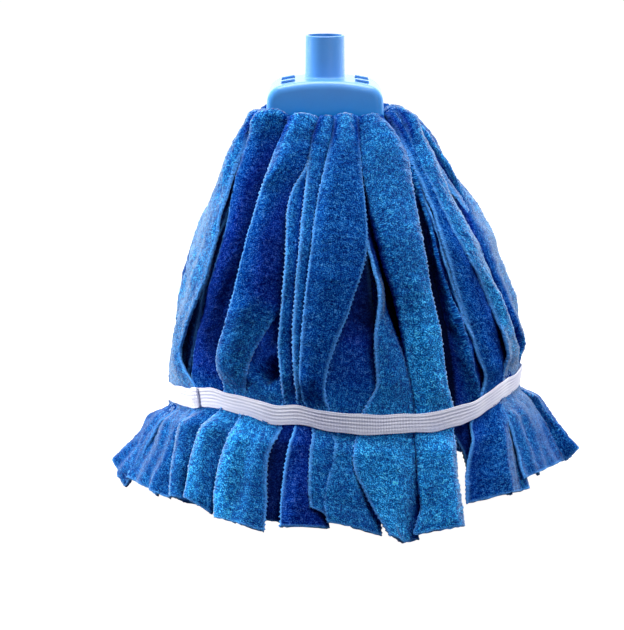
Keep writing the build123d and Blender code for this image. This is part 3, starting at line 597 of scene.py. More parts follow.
def new_mesh(name, verts, faces, uvs=None, floats=None):
    mesh = bpy.data.meshes.new(name)
    verts = np.asarray(verts, np.float32)
    faces = np.asarray(faces, np.int32)
    n, k = faces.shape
    mesh.vertices.add(len(verts))
    mesh.vertices.foreach_set("co", verts.reshape(-1))
    mesh.loops.add(n * k)
    mesh.loops.foreach_set("vertex_index", faces.reshape(-1))
    mesh.polygons.add(n)
    mesh.polygons.foreach_set("loop_start", np.arange(0, n * k, k, dtype=np.int32))
    mesh.update(calc_edges=True)
    if uvs is not None:
        layer = mesh.uv_layers.new(name="flat")
        layer.data.foreach_set("uv", np.asarray(uvs, np.float32)[faces.reshape(-1)].reshape(-1))
    for key, val in (floats or {}).items():
        at = mesh.attributes.new(key, "FLOAT", "POINT")
        at.data.foreach_set("value", np.asarray(val, np.float32))
    mesh.polygons.foreach_set("use_smooth", np.ones(n, bool))
    mesh.validate()
    obj = bpy.data.objects.new(name, mesh)
    bpy.context.scene.collection.objects.link(obj)
    return obj


def shell_faces(n, m):
    """Quads of a closed sheet: a grid of n rows and m columns, its back, and the rim between them."""
    idx = np.arange(n * m).reshape(n, m)
    back = idx + n * m
    a = np.stack([idx[:-1, :-1], idx[1:, :-1], idx[1:, 1:], idx[:-1, 1:]], -1).reshape(-1, 4)
    b = np.stack([back[:-1, :-1], back[:-1, 1:], back[1:, 1:], back[1:, :-1]], -1).reshape(-1, 4)
    e1 = np.stack([idx[:-1, 0], back[:-1, 0], back[1:, 0], idx[1:, 0]], -1)
    e2 = np.stack([idx[:-1, -1], idx[1:, -1], back[1:, -1], back[:-1, -1]], -1)
    e3 = np.stack([idx[0, :-1], idx[0, 1:], back[0, 1:], back[0, :-1]], -1)
    e4 = np.stack([idx[-1, :-1], back[-1, :-1], back[-1, 1:], idx[-1, 1:]], -1)
    return np.concatenate([a, b, e1, e2, e3, e4])


def grid_normals(p):
    along = np.gradient(p, axis=0)
    across = np.gradient(p, axis=1)
    n = np.cross(along, across)
    return n / np.maximum(np.linalg.norm(n, axis=-1, keepdims=True), 1e-9)


THICK = 2.4


def to_image(p):
    """Image point of a place in space."""
    q = p - CAM
    fwd = q[..., 1] * math.cos(PITCH) - q[..., 2] * math.sin(PITCH)
    up = q[..., 1] * math.sin(PITCH) + q[..., 2] * math.cos(PITCH)
    return CX + FOCAL * q[..., 0] / fwd, CY - FOCAL * up / fwd


def near_line(u, v, line):
    """Distance of image points from a line of points."""
    best = np.full(u.shape, 1e9)
    for (x0, y0), (x1, y1) in zip(line[:-1], line[1:]):
        dx, dy = x1 - x0, y1 - y0
        k = np.clip(((u - x0) * dx + (v - y0) * dy) / (dx * dx + dy * dy), 0, 1)
        best = np.minimum(best, np.hypot(u - x0 - k * dx, v - y0 - k * dy))
    return best


def even_rows(rails, n):
    mid = sum(rails) / len(rails)
    s = arc(mid)
    t = np.linspace(0, s[-1], n)
    return [np.stack([np.interp(t, s, a[:, j]) for j in range(a.shape[1])], 1) for a in rails]


def cuts(gap, first, last):
    """Shares of a gap between two rails where columns run, closer together at a cut edge."""
    f = np.linspace(0, 1, max(3, int(round(gap / 1.7))) + 1)
    if gap > 7.0:
        e = np.array([0.35, 0.85, 1.5]) / gap
        if first:
            f = np.concatenate([[0.0], e, f[f > 2.2 / gap]])
        if last:
            f = np.concatenate([f[f < 1 - 2.2 / gap], 1 - e[::-1], [1.0]])
    return f


def cloth(name, rails, seed, bulge, skew=0.0, span=(0, 1), marks=(), rough=1.0):
    """One strip: rows across its rails, arched, with waves, frayed edges and thickness."""
    rails = [smooth(r, 2.6) for r in rails]
    length = arc(sum(rails) / len(rails))[-1]
    rows = int(length / 1.1)
    rails = even_rows(rails, rows)
    gaps = [np.linalg.norm(b[:, :3] - a[:, :3], axis=1).mean() for a, b in zip(rails[:-1], rails[1:])]
    parts, at = [], [0]
    for k, (a, b) in enumerate(zip(rails[:-1], rails[1:])):
        f = cuts(gaps[k], k == 0, k == len(gaps) - 1)
        at.append(at[-1] + len(f) - 1)
        f = f if k == len(gaps) - 1 else f[:-1]
        parts.append(a[:, None] * (1 - f)[None, :, None] + b[:, None] * f[None, :, None])
    p = np.concatenate(parts, axis=1)
    # fourth value of the rails: painted shade above 0, painted light below 0
    painted_shading = np.clip(p[:, :, 3], -1, 2)
    p = p[:, :, :3]
    if len(rails) > 2:
        p = np.swapaxes(smooth(np.swapaxes(p, 0, 1), 0.8), 0, 1)
    cols = p.shape[1]
    step = np.linalg.norm(np.diff(p, axis=1), axis=2)
    across = np.concatenate([np.zeros((rows, 1)), np.cumsum(step, axis=1)], axis=1)
    width = across[:, -1]
    tt = 2 * across / np.maximum(width, 1e-6)[:, None] - 1
    s = np.linspace(0, 1, rows)
    ss = np.repeat((s * length)[:, None], cols, axis=1)
    nrm = grid_normals(smooth(p, 6.0))
    xx = tt * np.maximum(width[:, None], 15.0) / 2
    # arch across the strip: strong where it leaves the collar, slack lower down
    z = p[:, :, 2].mean(1)
    near = np.exp(-((z + 70.0) / 27.0) ** 2)
    seen0, seen1 = across[:, at[span[0]]], across[:, at[span[1]]]
    spread = np.clip((seen1 - seen0) / 30.0, 0.2, 1.2)
    inside = np.clip((s * length - 19.0) / 9.0, 0, 1)
    arch = (bulge + 6.0 * near) * spread * (0.15 + 0.85 * inside * np.interp(-z, [54.0, 66.0], [0.45, 1.0]))
    k = np.clip((across - seen0[:, None]) / np.maximum(seen1 - seen0, 1e-6)[:, None], 0, 1)
    k = k if skew >= 0 else 1 - k
    out = arch[:, None] * ((1 - abs(skew)) * 4 * k * (1 - k) + abs(skew) * 6.75 * k * (1 - k) ** 2)
    # cloth waves
    lump = wave(xx, ss, seed, 75.0) * 1.1 + wave(xx, ss, seed + 100, 30.0) * 0.5 + wave(xx, ss, seed + 200, 11.0) * 0.22
    flute = wave(xx, ss * 0.22, seed + 300, 21.0) * np.interp(-z, [90.0, 200.0, 262.0, 272.0, 300.0], [0.3, 1.0, 0.9, 1.0, 1.9])[:, None]
    out += (lump + flute) * inside[:, None] * rough
    # edges roll back a little
    out -= 0.8 * np.clip((np.abs(tt) - 0.84) / 0.16, 0, 1) ** 2 * inside[:, None]
    u, v = to_image(p)
    for line, high, size in marks:
        out += high * np.exp(-0.5 * (near_line(u, v, line) / size) ** 2)
    p = p + nrm * out[:, :, None]
    # frayed cut edges: small teeth that fade out inwards
    rng = np.random.default_rng(seed + 7)
    side = p[:, -1] - p[:, 0]
    side /= np.maximum(np.linalg.norm(side, axis=1, keepdims=True), 1e-6)
    from_l, from_r = across, width[:, None] - across
    for dist, sgn in ((from_l, -1.0), (from_r, 1.0)):
        jag = np.where(np.arange(rows) % 3 == 0, 0.75, -0.35) * rng.uniform(0.5, 1.25, rows) + rng.normal(0, 0.15, rows)
        p += side[:, None] * (sgn * jag[:, None] * np.clip(1 - dist / 1.6, 0, 1) * inside[:, None])[:, :, None]
    jag = rng.normal(0, 0.22, cols) + 0.2 * np.sin(np.arange(cols) * 1.9)
    down = p[-1] - p[-4]
    down /= np.maximum(np.linalg.norm(down, axis=1, keepdims=True), 1e-9)
    p[-1] += down * jag[:, None]
    p = cinch(p, THICK / 2)
    nrm = grid_normals(smooth(p, 1.0))
    # thickness: a rounded bead along each cut edge
    rim_at = np.minimum(from_l, from_r)
    h = np.interp(rim_at, [0.0, 0.35, 0.85, 1.5, 2.6, 4.0], [0.40, 1.00, 1.40, 1.50, 1.25, THICK / 2])
    front = p + nrm * (h + rng.normal(0, 0.26, (rows, cols)))[:, :, None]
    rear = p - nrm * (h + rng.normal(0, 0.20, (rows, cols)))[:, :, None]
    verts = np.concatenate([front.reshape(-1, 3), rear.reshape(-1, 3)])
    verts[:, 2] = np.maximum(verts[:, 2], -345.9)
    u0, v0 = (seed * 0.0737) % 1.0, (seed * 0.0391) % 1.0
    uv = np.stack([(xx * MM + u0).reshape(-1), (ss * MM + v0).reshape(-1)], 1)
    uv = np.concatenate([uv, uv + 0.37])
    # painted shade in the crease where the strips leave the collar, strongest near their cut edges
    collar_crease_shade = np.exp(-((z + 66.0) / 15.0) ** 2)[:, None] * np.clip(1.25 - rim_at / 5.0, 0, 1)
    painted_shading = np.clip(painted_shading + collar_crease_shade * np.maximum(1.3 - painted_shading, 0), -1, 2)
    # painted highlight mask along the cut edges and the tail end, weaker where the strip leaves the collar
    edge_highlight = np.clip((2.0 - rim_at) / 1.1, 0, 1) * inside[:, None] * (1 - 0.8 * np.exp(-((z + 66.0) / 15.0) ** 2))[:, None]
    edge_highlight = np.maximum(edge_highlight, np.clip((ss - (length - 1.8)) / 1.8, 0, 1)).reshape(-1)
    obj = new_mesh("cloth_" + name, verts * MM, shell_faces(rows, cols), uv, {"edge_highlight": np.concatenate([edge_highlight, edge_highlight]), "painted_shading": np.concatenate([painted_shading.reshape(-1), painted_shading.reshape(-1)])})
    return obj, length


# ------------------------------------------------------------------ materials
def node_material(name):
    mat = bpy.data.materials.new(name)
    mat.use_nodes = True
    nt = mat.node_tree
    nt.nodes.clear()
    out = nt.nodes.new("ShaderNodeOutputMaterial")
    bsdf = nt.nodes.new("ShaderNodeBsdfPrincipled")
    nt.links.new(bsdf.outputs["BSDF"], out.inputs["Surface"])
    return mat, nt, bsdf


def add(nt, kind, **values):
    node = nt.nodes.new(kind)
    for key, val in values.items():
        if hasattr(node, key):
            setattr(node, key, val)
        else:
            node.inputs[key].default_value = val
    return node


def math_node(nt, op, a, b=None, clamp=False):
    node = nt.nodes.new("ShaderNodeMath")
    node.operation = op
    node.use_clamp = clamp
    for i, v in enumerate((a, b)):
        if v is None:
            continue
        if isinstance(v, (int, float)):
            node.inputs[i].default_value = v
        else:
            nt.links.new(v, node.inputs[i])
    return node.outputs[0]


def ramp(nt, fac, stops):
    node = nt.nodes.new("ShaderNodeValToRGB")
    el = node.color_ramp.elements
    while len(el) > 1:
        el.remove(el[-1])
    el[0].position, el[0].color = stops[0][0], (*stops[0][1], 1)
    for pos, col in stops[1:]:
        e = el.new(pos)
        e.color = (*col, 1)
    nt.links.new(fac, node.inputs[0])
    return node.outputs[0]


def mix_rgb(nt, kind, fac, a, b):
    node = nt.nodes.new("ShaderNodeMix")
    node.data_type = "RGBA"
    node.blend_type = kind
    for sock, v in ((node.inputs[0], fac), (node.inputs[6], a), (node.inputs[7], b)):
        if isinstance(v, (int, float)):
            sock.default_value = v
        elif isinstance(v, tuple):
            sock.default_value = (*v, 1)
        else:
            nt.links.new(v, sock)
    return node.outputs[2]


def terry_material():
    mat, nt, bsdf = node_material("microfibre_terry")
    uv = add(nt, "ShaderNodeUVMap", uv_map="flat").outputs[0]
    loops = add(nt, "ShaderNodeTexVoronoi", feature="F1", voronoi_dimensions="2D", Scale=980.0, Randomness=1.0)
    fibre = add(nt, "ShaderNodeTexNoise", noise_dimensions="2D", Scale=1900.0, Detail=2.0, Roughness=0.6)
    clump = add(nt, "ShaderNodeTexNoise", noise_dimensions="2D", Scale=230.0, Detail=3.0, Roughness=0.6)
    broad = add(nt, "ShaderNodeTexNoise", noise_dimensions="2D", Scale=55.0, Detail=3.0, Roughness=0.55)
    strand = add(nt, "ShaderNodeTexNoise", noise_dimensions="2D", Scale=560.0, Detail=3.0, Roughness=0.68, Distortion=0.9)
    for n in (loops, fibre, clump, broad, strand):
        nt.links.new(uv, n.inputs["Vector"])
    tip = math_node(nt, "SUBTRACT", 1.0, loops.outputs["Distance"], clamp=True)
    tuft = math_node(nt, "MULTIPLY", tip, math_node(nt, "ADD", fibre.outputs[0], 0.5))
    mixd = math_node(nt, "ADD", math_node(nt, "MULTIPLY", tuft, 0.24), math_node(nt, "MULTIPLY", clump.outputs[0], 0.24))
    mixd = math_node(nt, "ADD", mixd, math_node(nt, "MULTIPLY", strand.outputs[0], 0.64))
    col = ramp(nt, mixd, [(0.42, (0.0010, 0.034, 0.210)), (0.52, (0.0016, 0.066, 0.325)), (0.59, (0.003, 0.130, 0.500)), (0.65, (0.015, 0.285, 0.730)), (0.74, (0.090, 0.520, 0.890))])
    shade = ramp(nt, broad.outputs[0], [(0.3, (0.72, 0.76, 0.82)), (0.7, (1.22, 1.18, 1.12))])
    col = mix_rgb(nt, "MULTIPLY", 1.0, col, shade)
    # painted shade: the pile is painted darker where a strip lies covered by its neighbours or in a crease
    painted_shading = add(nt, "ShaderNodeAttribute", attribute_name="painted_shading").outputs["Fac"]
    col = mix_rgb(nt, "MULTIPLY", math_node(nt, "MULTIPLY", painted_shading, 1.0, clamp=True), col, (0.66, 0.22, 0.56))
    # painted shadow: where the shading value passes 1 the pile is painted near black, for strips shut in under others
    col = mix_rgb(nt, "MIX", math_node(nt, "MULTIPLY", math_node(nt, "SUBTRACT", painted_shading, 1.0, clamp=True), 0.96), col, (0.0015, 0.0025, 0.010))
    # painted light: where the shading value is below 0 the pile is painted paler, standing in for light falling on it
    painted_light_fac = math_node(nt, "MULTIPLY", painted_shading, -1.0, clamp=True)
    col = mix_rgb(nt, "MULTIPLY", painted_light_fac, col, (2.4, 2.1, 1.65))
    # painted highlight: the cut edges and tail end are painted paler blue, standing in for the light the frayed edges
    # catch, less of it in painted shade
    edge_highlight = add(nt, "ShaderNodeAttribute", attribute_name="edge_highlight").outputs["Fac"]
    edge_highlight_fac = math_node(nt, "MULTIPLY", edge_highlight, math_node(nt, "MULTIPLY", fibre.outputs[0], 1.9), clamp=True)
    edge_highlight_fac = math_node(nt, "MULTIPLY", edge_highlight_fac, math_node(nt, "SUBTRACT", 2.0, painted_shading, clamp=True))
    col = mix_rgb(nt, "MIX", edge_highlight_fac, col, (0.11, 0.42, 1.0))
    nt.links.new(col, bsdf.inputs["Base Color"])
    bsdf.inputs["Roughness"].default_value = 0.95
    bsdf.inputs["Specular IOR Level"].default_value = 0.0
    # sheen of the open pile, strongest where it is seen along its lie
    lie = add(nt, "ShaderNodeLayerWeight", Blend=0.5).outputs["Facing"]
    sheen = ramp(nt, lie, [(0.40, (0.06, 0.06, 0.06)), (0.60, (0.38, 0.38, 0.38)), (0.80, (1.0, 1.0, 1.0))])
    sheen = math_node(nt, "MULTIPLY", sheen, math_node(nt, "SUBTRACT", 1.0, math_node(nt, "MULTIPLY", painted_shading, 1.6), clamp=True))
    nt.links.new(sheen, bsdf.inputs["Sheen Weight"])
    bsdf.inputs["Sheen Roughness"].default_value = 0.55
    bsdf.inputs["Sheen Tint"].default_value = (0.70, 0.83, 1.0, 1)
    height = math_node(nt, "ADD", math_node(nt, "MULTIPLY", tuft, 0.6), math_node(nt, "MULTIPLY", strand.outputs[0], 1.3))
    bump = add(nt, "ShaderNodeBump", Strength=1.0, Distance=0.0017)
    nt.links.new(height, bump.inputs["Height"])
    nt.links.new(bump.outputs[0], bsdf.inputs["Normal"])
    return mat


def elastic_material():
    mat, nt, bsdf = node_material("elastic_webbing_weave")
    uv = add(nt, "ShaderNodeUVMap", uv_map="flat").outputs[0]
    sep = add(nt, "ShaderNodeSeparateXYZ")
    nt.links.new(uv, sep.inputs[0])
    # U runs along the band, V across it, both in metres
    rib = math_node(nt, "SINE", math_node(nt, "MULTIPLY", sep.outputs[1], 2 * math.pi / 0.0025))
    pick = math_node(nt, "SINE", math_node(nt, "MULTIPLY", sep.outputs[0], 2 * math.pi / 0.0011))
    noise = add(nt, "ShaderNodeTexNoise", noise_dimensions="2D", Scale=900.0, Detail=3.0, Roughness=0.6)
    soft = add(nt, "ShaderNodeTexNoise", noise_dimensions="2D", Scale=35.0, Detail=2.0)
    nt.links.new(uv, noise.inputs["Vector"])
    nt.links.new(uv, soft.inputs["Vector"])
    weave = math_node(nt, "ADD", math_node(nt, "MULTIPLY", rib, 0.30), math_node(nt, "MULTIPLY", pick, 0.30))
    weave = math_node(nt, "ADD", weave, math_node(nt, "MULTIPLY", noise.outputs[0], 0.8))
    fac = math_node(nt, "ADD", math_node(nt, "MULTIPLY", weave, 0.36), 0.42, clamp=True)
    col = ramp(nt, fac, [(0.05, (0.58, 0.58, 0.70)), (0.45, (0.78, 0.78, 0.87)), (0.85, (0.88, 0.88, 0.93))])
    dirt = ramp(nt, soft.outputs[0], [(0.35, (0.90, 0.90, 0.95)), (0.65, (1.0, 1.0, 1.0))])
    col = mix_rgb(nt, "MULTIPLY", 1.0, col, dirt)
    nt.links.new(col, bsdf.inputs["Base Color"])
    bsdf.inputs["Roughness"].default_value = 0.8
    bsdf.inputs["Specular IOR Level"].default_value = 0.5
    bsdf.inputs["Sheen Weight"].default_value = 0.15
    bsdf.inputs["Sheen Roughness"].default_value = 0.4
    bump = add(nt, "ShaderNodeBump", Strength=0.7, Distance=0.0004)
    nt.links.new(weave, bump.inputs["Height"])
    nt.links.new(bump.outputs[0], bsdf.inputs["Normal"])
    return mat


def plastic_material(name, low, mid, high, rough):
    mat, nt, bsdf = node_material(name)
    tc = add(nt, "ShaderNodeTexCoord").outputs["Object"]
    fine = add(nt, "ShaderNodeTexNoise", Scale=2600.0, Detail=2.0, Roughness=0.5)
    flow = add(nt, "ShaderNodeTexNoise", Scale=28.0, Detail=4.0, Roughness=0.55, Distortion=0.6)
    scuff = add(nt, "ShaderNodeTexNoise", Scale=240.0, Detail=4.0, Roughness=0.7)
    for n in (fine, flow, scuff):
        nt.links.new(tc, n.inputs["Vector"])
    col = ramp(nt, flow.outputs[0], [(0.30, low), (0.52, mid), (0.75, high)])
    # painted light: the moulding is painted paler towards its mouth at the top, as light from above falls
    sep = add(nt, "ShaderNodeSeparateXYZ")
    nt.links.new(tc, sep.inputs[0])
    up = math_node(nt, "MULTIPLY", math_node(nt, "ADD", sep.outputs[2], 0.056), 1 / 0.022, clamp=True)
    col = mix_rgb(nt, "MIX", math_node(nt, "MULTIPLY", up, 0.5), col, (0.13, 0.30, 0.62))
    nt.links.new(col, bsdf.inputs["Base Color"])
    r = math_node(nt, "ADD", math_node(nt, "MULTIPLY", scuff.outputs[0], 0.22), rough - 0.11)
    r = math_node(nt, "ADD", r, math_node(nt, "MULTIPLY", fine.outputs[0], 0.06))
    nt.links.new(r, bsdf.inputs["Roughness"])
    bsdf.inputs["Specular IOR Level"].default_value = 0.25
    bsdf.inputs["Coat Weight"].default_value = 1.0
    bsdf.inputs["Coat Roughness"].default_value = 0.26
    bsdf.inputs["Subsurface Weight"].default_value = 0.06
    bsdf.inputs["Subsurface Radius"].default_value = (0.4, 0.7, 1.0)
    bsdf.inputs["Subsurface Scale"].default_value = 0.003
    bump = add(nt, "ShaderNodeBump", Strength=0.18, Distance=0.00015)
    nt.links.new(math_node(nt, "ADD", fine.outputs[0], math_node(nt, "MULTIPLY", scuff.outputs[0], 0.8)), bump.inputs["Height"])
    nt.links.new(bump.outputs[0], bsdf.inputs["Normal"])
    return mat


def woven_material(name, dark, light, scale):
    mat, nt, bsdf = node_material(name)
    tc = add(nt, "ShaderNodeTexCoord").outputs["Object"]
    w1 = add(nt, "ShaderNodeTexWave", wave_type="BANDS", bands_direction="Z", Scale=scale, Distortion=0.6, Detail=1.0)
    w2 = add(nt, "ShaderNodeTexWave", wave_type="BANDS", bands_direction="DIAGONAL", Scale=scale * 0.8, Distortion=0.6, Detail=1.0)
    fuzz = add(nt, "ShaderNodeTexNoise", Scale=3000.0, Detail=2.0)
    for n in (w1, w2, fuzz):
        nt.links.new(tc, n.inputs["Vector"])
    weave = math_node(nt, "ADD", math_node(nt, "MULTIPLY", w1.outputs["Fac"], w2.outputs["Fac"]), math_node(nt, "MULTIPLY", fuzz.outputs[0], 0.4))
    col = ramp(nt, weave, [(0.15, dark), (0.8, light)])
    nt.links.new(col, bsdf.inputs["Base Color"])
    bsdf.inputs["Roughness"].default_value = 0.85
    bsdf.inputs["Specular IOR Level"].default_value = 0.2
    bsdf.inputs["Sheen Weight"].default_value = 0.15
    bump = add(nt, "ShaderNodeBump", Strength=0.6, Distance=0.0003)
    nt.links.new(weave, bump.inputs["Height"])
    nt.links.new(bump.outputs[0], bsdf.inputs["Normal"])
    return mat


def set_material(obj, mat):
    obj.data.materials.clear()
    obj.data.materials.append(mat)


TERRY = terry_material()
ELASTIC = elastic_material()
SOCKET = plastic_material("socket_polypropylene", (0.0025, 0.185, 0.54), (0.003, 0.210, 0.59), (0.005, 0.235, 0.63), 0.56)
RETAINER = plastic_material("retainer_polypropylene", (0.009, 0.180, 0.56), (0.012, 0.200, 0.60), (0.018, 0.225, 0.64), 0.42)
TAPE = woven_material("binding_tape_weave", (0.45, 0.46, 0.52), (0.80, 0.81, 0.86), 700.0)
THREAD = woven_material("polyester_thread_twist", (0.50, 0.50, 0.56), (0.88, 0.88, 0.92), 1500.0)

nodes = frame["nodes"]


def node_object(name):
    return bpy.data.objects.get(name) if not isinstance(nodes, dict) else nodes[name]


for node, mat in (("handle_socket", SOCKET), ("socket_hood", SOCKET), ("strip_retainer", RETAINER), ("header_tape", TAPE), ("header_stitching", THREAD)):
    obj = node_object(node)
    for slot in obj.material_slots:
        slot.material = mat
    if not obj.material_slots:
        obj.data.materials.append(mat)

# ------------------------------------------------------------------ strips
seed = 300
for name in [*TRACED, *ROUND]:
    seed += 13
    if name in TRACED:
        spec = TRACED[name]
        rails = traced_rails(spec)
        span = spec.get("span", (0, 1))
        if "hide" in spec:
            rails = tucked(rails, spec["hide"], spec.get("full", 36.0), spec.get("deep", 6.0), spec.get("lap", 3.0), spec.get("low", 1.0))
            span = (0, 1) if spec["hide"] == "r" else (1, 2)
        obj, length = cloth(name, rails, seed, spec["bulge"], spec.get("skew", 0.0), span, spec.get("marks", ()))
    else:
        obj, length = cloth(name, round_edges(*ROUND[name]), seed, (5.0, 3.0)[ROUND[name][5]], 0.4)
    set_material(obj, TERRY)
    kind, num = name.split("_")
    if kind == "outer":
        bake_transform(obj)
        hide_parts(f"outer_strip_{num}", f"outer_strip_{num}_tail")
    else:
        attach(obj, "head")
        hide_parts(f"inner_strip_{num}")

# ------------------------------------------------------------------ elastic band
def make_band():
    n, m = 1100, 31
    th = np.linspace(-62.0, 298.0 + 4.5, n)           # the ends overlap at the sewn join
    tw = (th + 180.0) % 360.0 - 180.0
    v = np.linspace(-1, 1, m)
    rad = band_radius(tw)
    rad = np.where(th > 297.0, rad + 1.35 * np.clip((th - 297.0) / 1.5, 0, 1), rad)
    zc = band_z(tw) + 0.45 * np.sin(th / 6.1) + 0.35 * np.sin(th / 2.7 + 1.3)
    rad = smooth(rad, 5.0)
    s = np.radians(th + 62.0) * BAND_R0
    half = 7.2 + 0.22 * np.sin(s * 2 * math.pi / 1.7) + 0.30 * np.sin(s / 11.0) + 0.22 * np.sin(s / 4.1 + 0.7)
    lean = -0.10 + 0.06 * np.sin(np.radians(tw) * 3 + 1.0)
    ribs = 0.11 * np.cos(v * math.pi * 5.5)
    sag = 0.5 * np.sin(s / 17.0) + 0.35 * np.sin(s / 7.3 + 1.0)
    front = np.zeros((n, m, 3))
    rear = np.zeros((n, m, 3))
    for i in range(n):
        zz = zc[i] + v * half[i]
        base = rad[i] - lean[i] * v * half[i] + 0.25 * sag[i] * (v ** 2)
        for arr, off in ((front, ribs), (rear, -1.15 + 0 * ribs)):
            r = base + off
            arr[i, :, 0] = 15.0 + r * math.sin(math.radians(tw[i]))
            arr[i, :, 1] = -r * math.cos(math.radians(tw[i]))
            arr[i, :, 2] = zz
    # rows run along the band, so flip to keep the faces outwards
    front, rear = front[:, ::-1], rear[:, ::-1]
    verts = np.concatenate([front.reshape(-1, 3), rear.reshape(-1, 3)])
    uu, vv = np.meshgrid(s * MM, v[::-1] * 7.4 * MM, indexing="ij")
    uv = np.stack([uu.reshape(-1), vv.reshape(-1)], 1)
    faces = shell_faces(n, m)[:, ::-1]
    obj = new_mesh("elastic_ribbon", verts * MM, faces, np.concatenate([uv, uv]))
    set_material(obj, ELASTIC)
    return obj, s[-1]


band_obj, band_len = make_band()
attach(band_obj, "band")
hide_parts("elastic_band")


def make_seam():
    """Thread stitches through the band's overlap, two short rows across it."""
    verts, faces = [], []
    for row_th in (-60.6, -58.9):
        r = band_radius(row_th) + 1.75
        zc = float(band_z(row_th))
        for k in range(7):
            z0, z1 = zc - 6.2 + k * 1.9, zc - 6.2 + k * 1.9 + 1.45
            path = np.linspace(0, 1, 9)
            lift_r = r + 0.30 * np.sin(path * math.pi) - 0.35
            th = row_th + 0.10 * np.sin(path * 2.2 + k)
            base = len(verts)
            for i in range(9):
                cx = 15.0 + lift_r[i] * math.sin(math.radians(th[i]))
                cy = -lift_r[i] * math.cos(math.radians(th[i]))
                cz = z0 + (z1 - z0) * path[i]
                er = np.array([math.sin(math.radians(row_th)), -math.cos(math.radians(row_th)), 0.0])
                et = np.array([math.cos(math.radians(row_th)), math.sin(math.radians(row_th)), 0.0])
                rr = 0.30 * (0.55 + 0.45 * math.sin(math.pi * min(max(path[i], 0.08), 0.92)))
                for q in range(8):
                    a = q * math.pi / 4
                    tw = rr * (1.0 + 0.12 * math.sin(3 * a + i * 1.6))
                    pt = np.array([cx, cy, cz]) + er * tw * math.cos(a) + et * tw * math.sin(a)
                    verts.append(pt * MM)
            for i in range(8):
                for q in range(8):
                    a, b = base + i * 8 + q, base + i * 8 + (q + 1) % 8
                    faces.append((a, b, b + 8, a + 8))
            faces.append(tuple(base + q for q in (0, 1, 2, 3)))
            faces.append(tuple(base + q for q in (0, 3, 4, 7)))
            faces.append(tuple(base + q for q in (4, 5, 6, 7)))
            faces.append(tuple(base + 64 + q for q in (3, 2, 1, 0)))
            faces.append(tuple(base + 64 + q for q in (7, 4, 3, 0)))
            faces.append(tuple(base + 64 + q for q in (7, 6, 5, 4)))
    obj = new_mesh("band_join_thread", verts, faces)
    set_material(obj, THREAD)
    return obj


seam_obj = make_seam()
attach(seam_obj, "band")
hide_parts("band_seam_stitching")

# ------------------------------------------------------------------ floor, light, world
def make_floor():
    n = 48
    rad = np.array([0.0, 0.3, 0.8, 2.0, 6.0, 16.0])
    verts, faces = [], []
    for r in rad[1:]:
        for i in range(n):
            a = 2 * math.pi * i / n
            verts.append((r * math.cos(a), r * math.sin(a), -0.3461))
    for k in range(len(rad) - 2):
        for i in range(n):
            j = (i + 1) % n
            faces.append((k * n + i, (k + 1) * n + i, (k + 1) * n + j, k * n + j))
    mesh = bpy.data.meshes.new("floor")
    mesh.from_pydata(verts, [], faces + [tuple(range(n))])
    obj = bpy.data.objects.new("floor", mesh)
    bpy.context.scene.collection.objects.link(obj)
    mat, nt, bsdf = node_material("pale_floor")
    noise = add(nt, "ShaderNodeTexNoise", Scale=3.0, Detail=2.0)
    col = ramp(nt, noise.outputs[0], [(0.3, (0.24, 0.24, 0.24)), (0.7, (0.26, 0.26, 0.26))])
    nt.links.new(col, bsdf.inputs["Base Color"])
    bsdf.inputs["Roughness"].default_value = 0.9
    bsdf.inputs["Specular IOR Level"].default_value = 0.1
    bsdf.inputs["Emission Color"].default_value = (1, 1, 1, 1)
    bsdf.inputs["Emission Strength"].default_value = 1.0
    set_material(obj, mat)
    obj.visible_diffuse = False
    obj.visible_glossy = False
    return obj


make_floor()


def area(name, place, target, size, power, color=(1, 1, 1), glossy=False):
    data = bpy.data.lights.new(name, "AREA")
    data.shape = "RECTANGLE"
    data.size, data.size_y = size
    data.energy = power
    data.color = color
    obj = bpy.data.objects.new(name, data)
    bpy.context.scene.collection.objects.link(obj)
    from mathutils import Vector
    d = Vector(target) - Vector(place)
    obj.location = place
    obj.rotation_mode = "QUATERNION"
    obj.rotation_quaternion = d.to_track_quat("-Z", "Y")
    obj.visible_glossy = glossy
    return obj


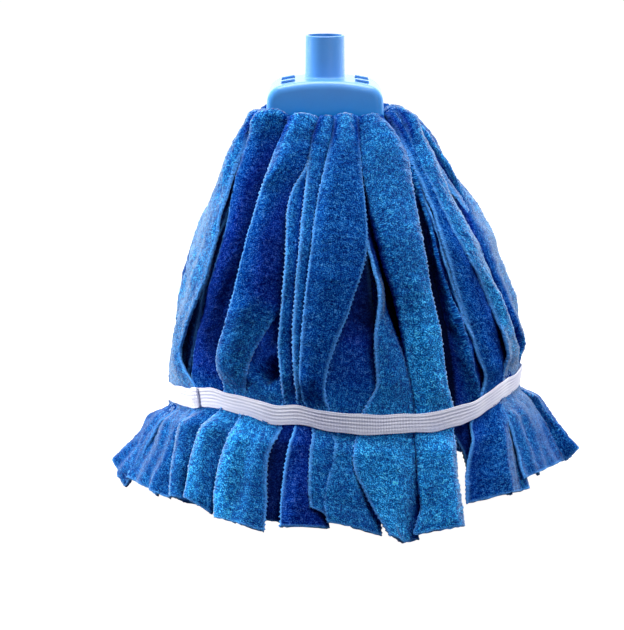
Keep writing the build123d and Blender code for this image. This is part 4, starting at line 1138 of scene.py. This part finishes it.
MID = (0.0, 0.0, -0.18)
area("side_left", (-1.48, 0.36, 0.15), MID, (0.6, 1.0), 62.0)
area("side_right", (1.25, 0.88, 0.20), MID, (0.6, 1.0), 33.0)
area("key_top", (0.40, -0.95, 1.15), (0.0, 0.0, -0.24), (0.7, 0.6), 20.5)
area("top_back", (0.0, 0.22, 1.30), MID, (1.5, 0.9), 30.0, glossy=True)
area("fill_right", (0.90, -1.35, 0.10), (0.05, 0.0, -0.26), (0.6, 0.6), 4.5)
area("front_fill", (0.10, -2.4, 0.10), MID, (1.4, 1.2), 1.5, (0.45, 0.52, 1.0))

world = bpy.data.worlds.new("studio")
bpy.context.scene.world = world
world.use_nodes = True
wt = world.node_tree
bg = wt.nodes["Background"]
path = wt.nodes.new("ShaderNodeLightPath")
tones = []
for out, tone in (("Is Camera Ray", (1.0, 1.0, 1.0)), ("Is Glossy Ray", (0.55, 0.56, 0.60)), ("Is Diffuse Ray", (0.010, 0.014, 0.065))):
    part = wt.nodes.new("ShaderNodeMix")
    part.data_type = "RGBA"
    part.inputs[6].default_value = (0, 0, 0, 1)
    part.inputs[7].default_value = (*tone, 1)
    if out == "Is Glossy Ray":
        place = wt.nodes.new("ShaderNodeSeparateXYZ")
        wt.links.new(wt.nodes.new("ShaderNodeTexCoord").outputs["Generated"], place.inputs[0])
        span = wt.nodes.new("ShaderNodeMapRange")
        span.interpolation_type = "SMOOTHSTEP"
        span.inputs["From Min"].default_value = -0.55
        span.inputs["From Max"].default_value = 0.55
        wt.links.new(place.outputs[1], span.inputs[0])
        card = wt.nodes.new("ShaderNodeMix")
        card.data_type = "RGBA"
        card.inputs[6].default_value = (*tone, 1)
        card.inputs[7].default_value = (1.7, 1.75, 1.8, 1)
        wt.links.new(span.outputs[0], card.inputs[0])
        wt.links.new(card.outputs[2], part.inputs[7])
    wt.links.new(path.outputs[out], part.inputs[0])
    if tones:
        both = wt.nodes.new("ShaderNodeMix")
        both.data_type = "RGBA"
        both.blend_type = "ADD"
        both.inputs[0].default_value = 1.0
        wt.links.new(tones[-1], both.inputs[6])
        wt.links.new(part.outputs[2], both.inputs[7])
        tones.append(both.outputs[2])
    else:
        tones.append(part.outputs[2])
wt.links.new(tones[-1], bg.inputs[0])
bg.inputs[1].default_value = 1.0

scene = bpy.context.scene
scene.view_settings.view_transform = "Standard"
scene.view_settings.look = "None"
scene.view_settings.exposure = 0.0
scene.view_settings.gamma = 1.0
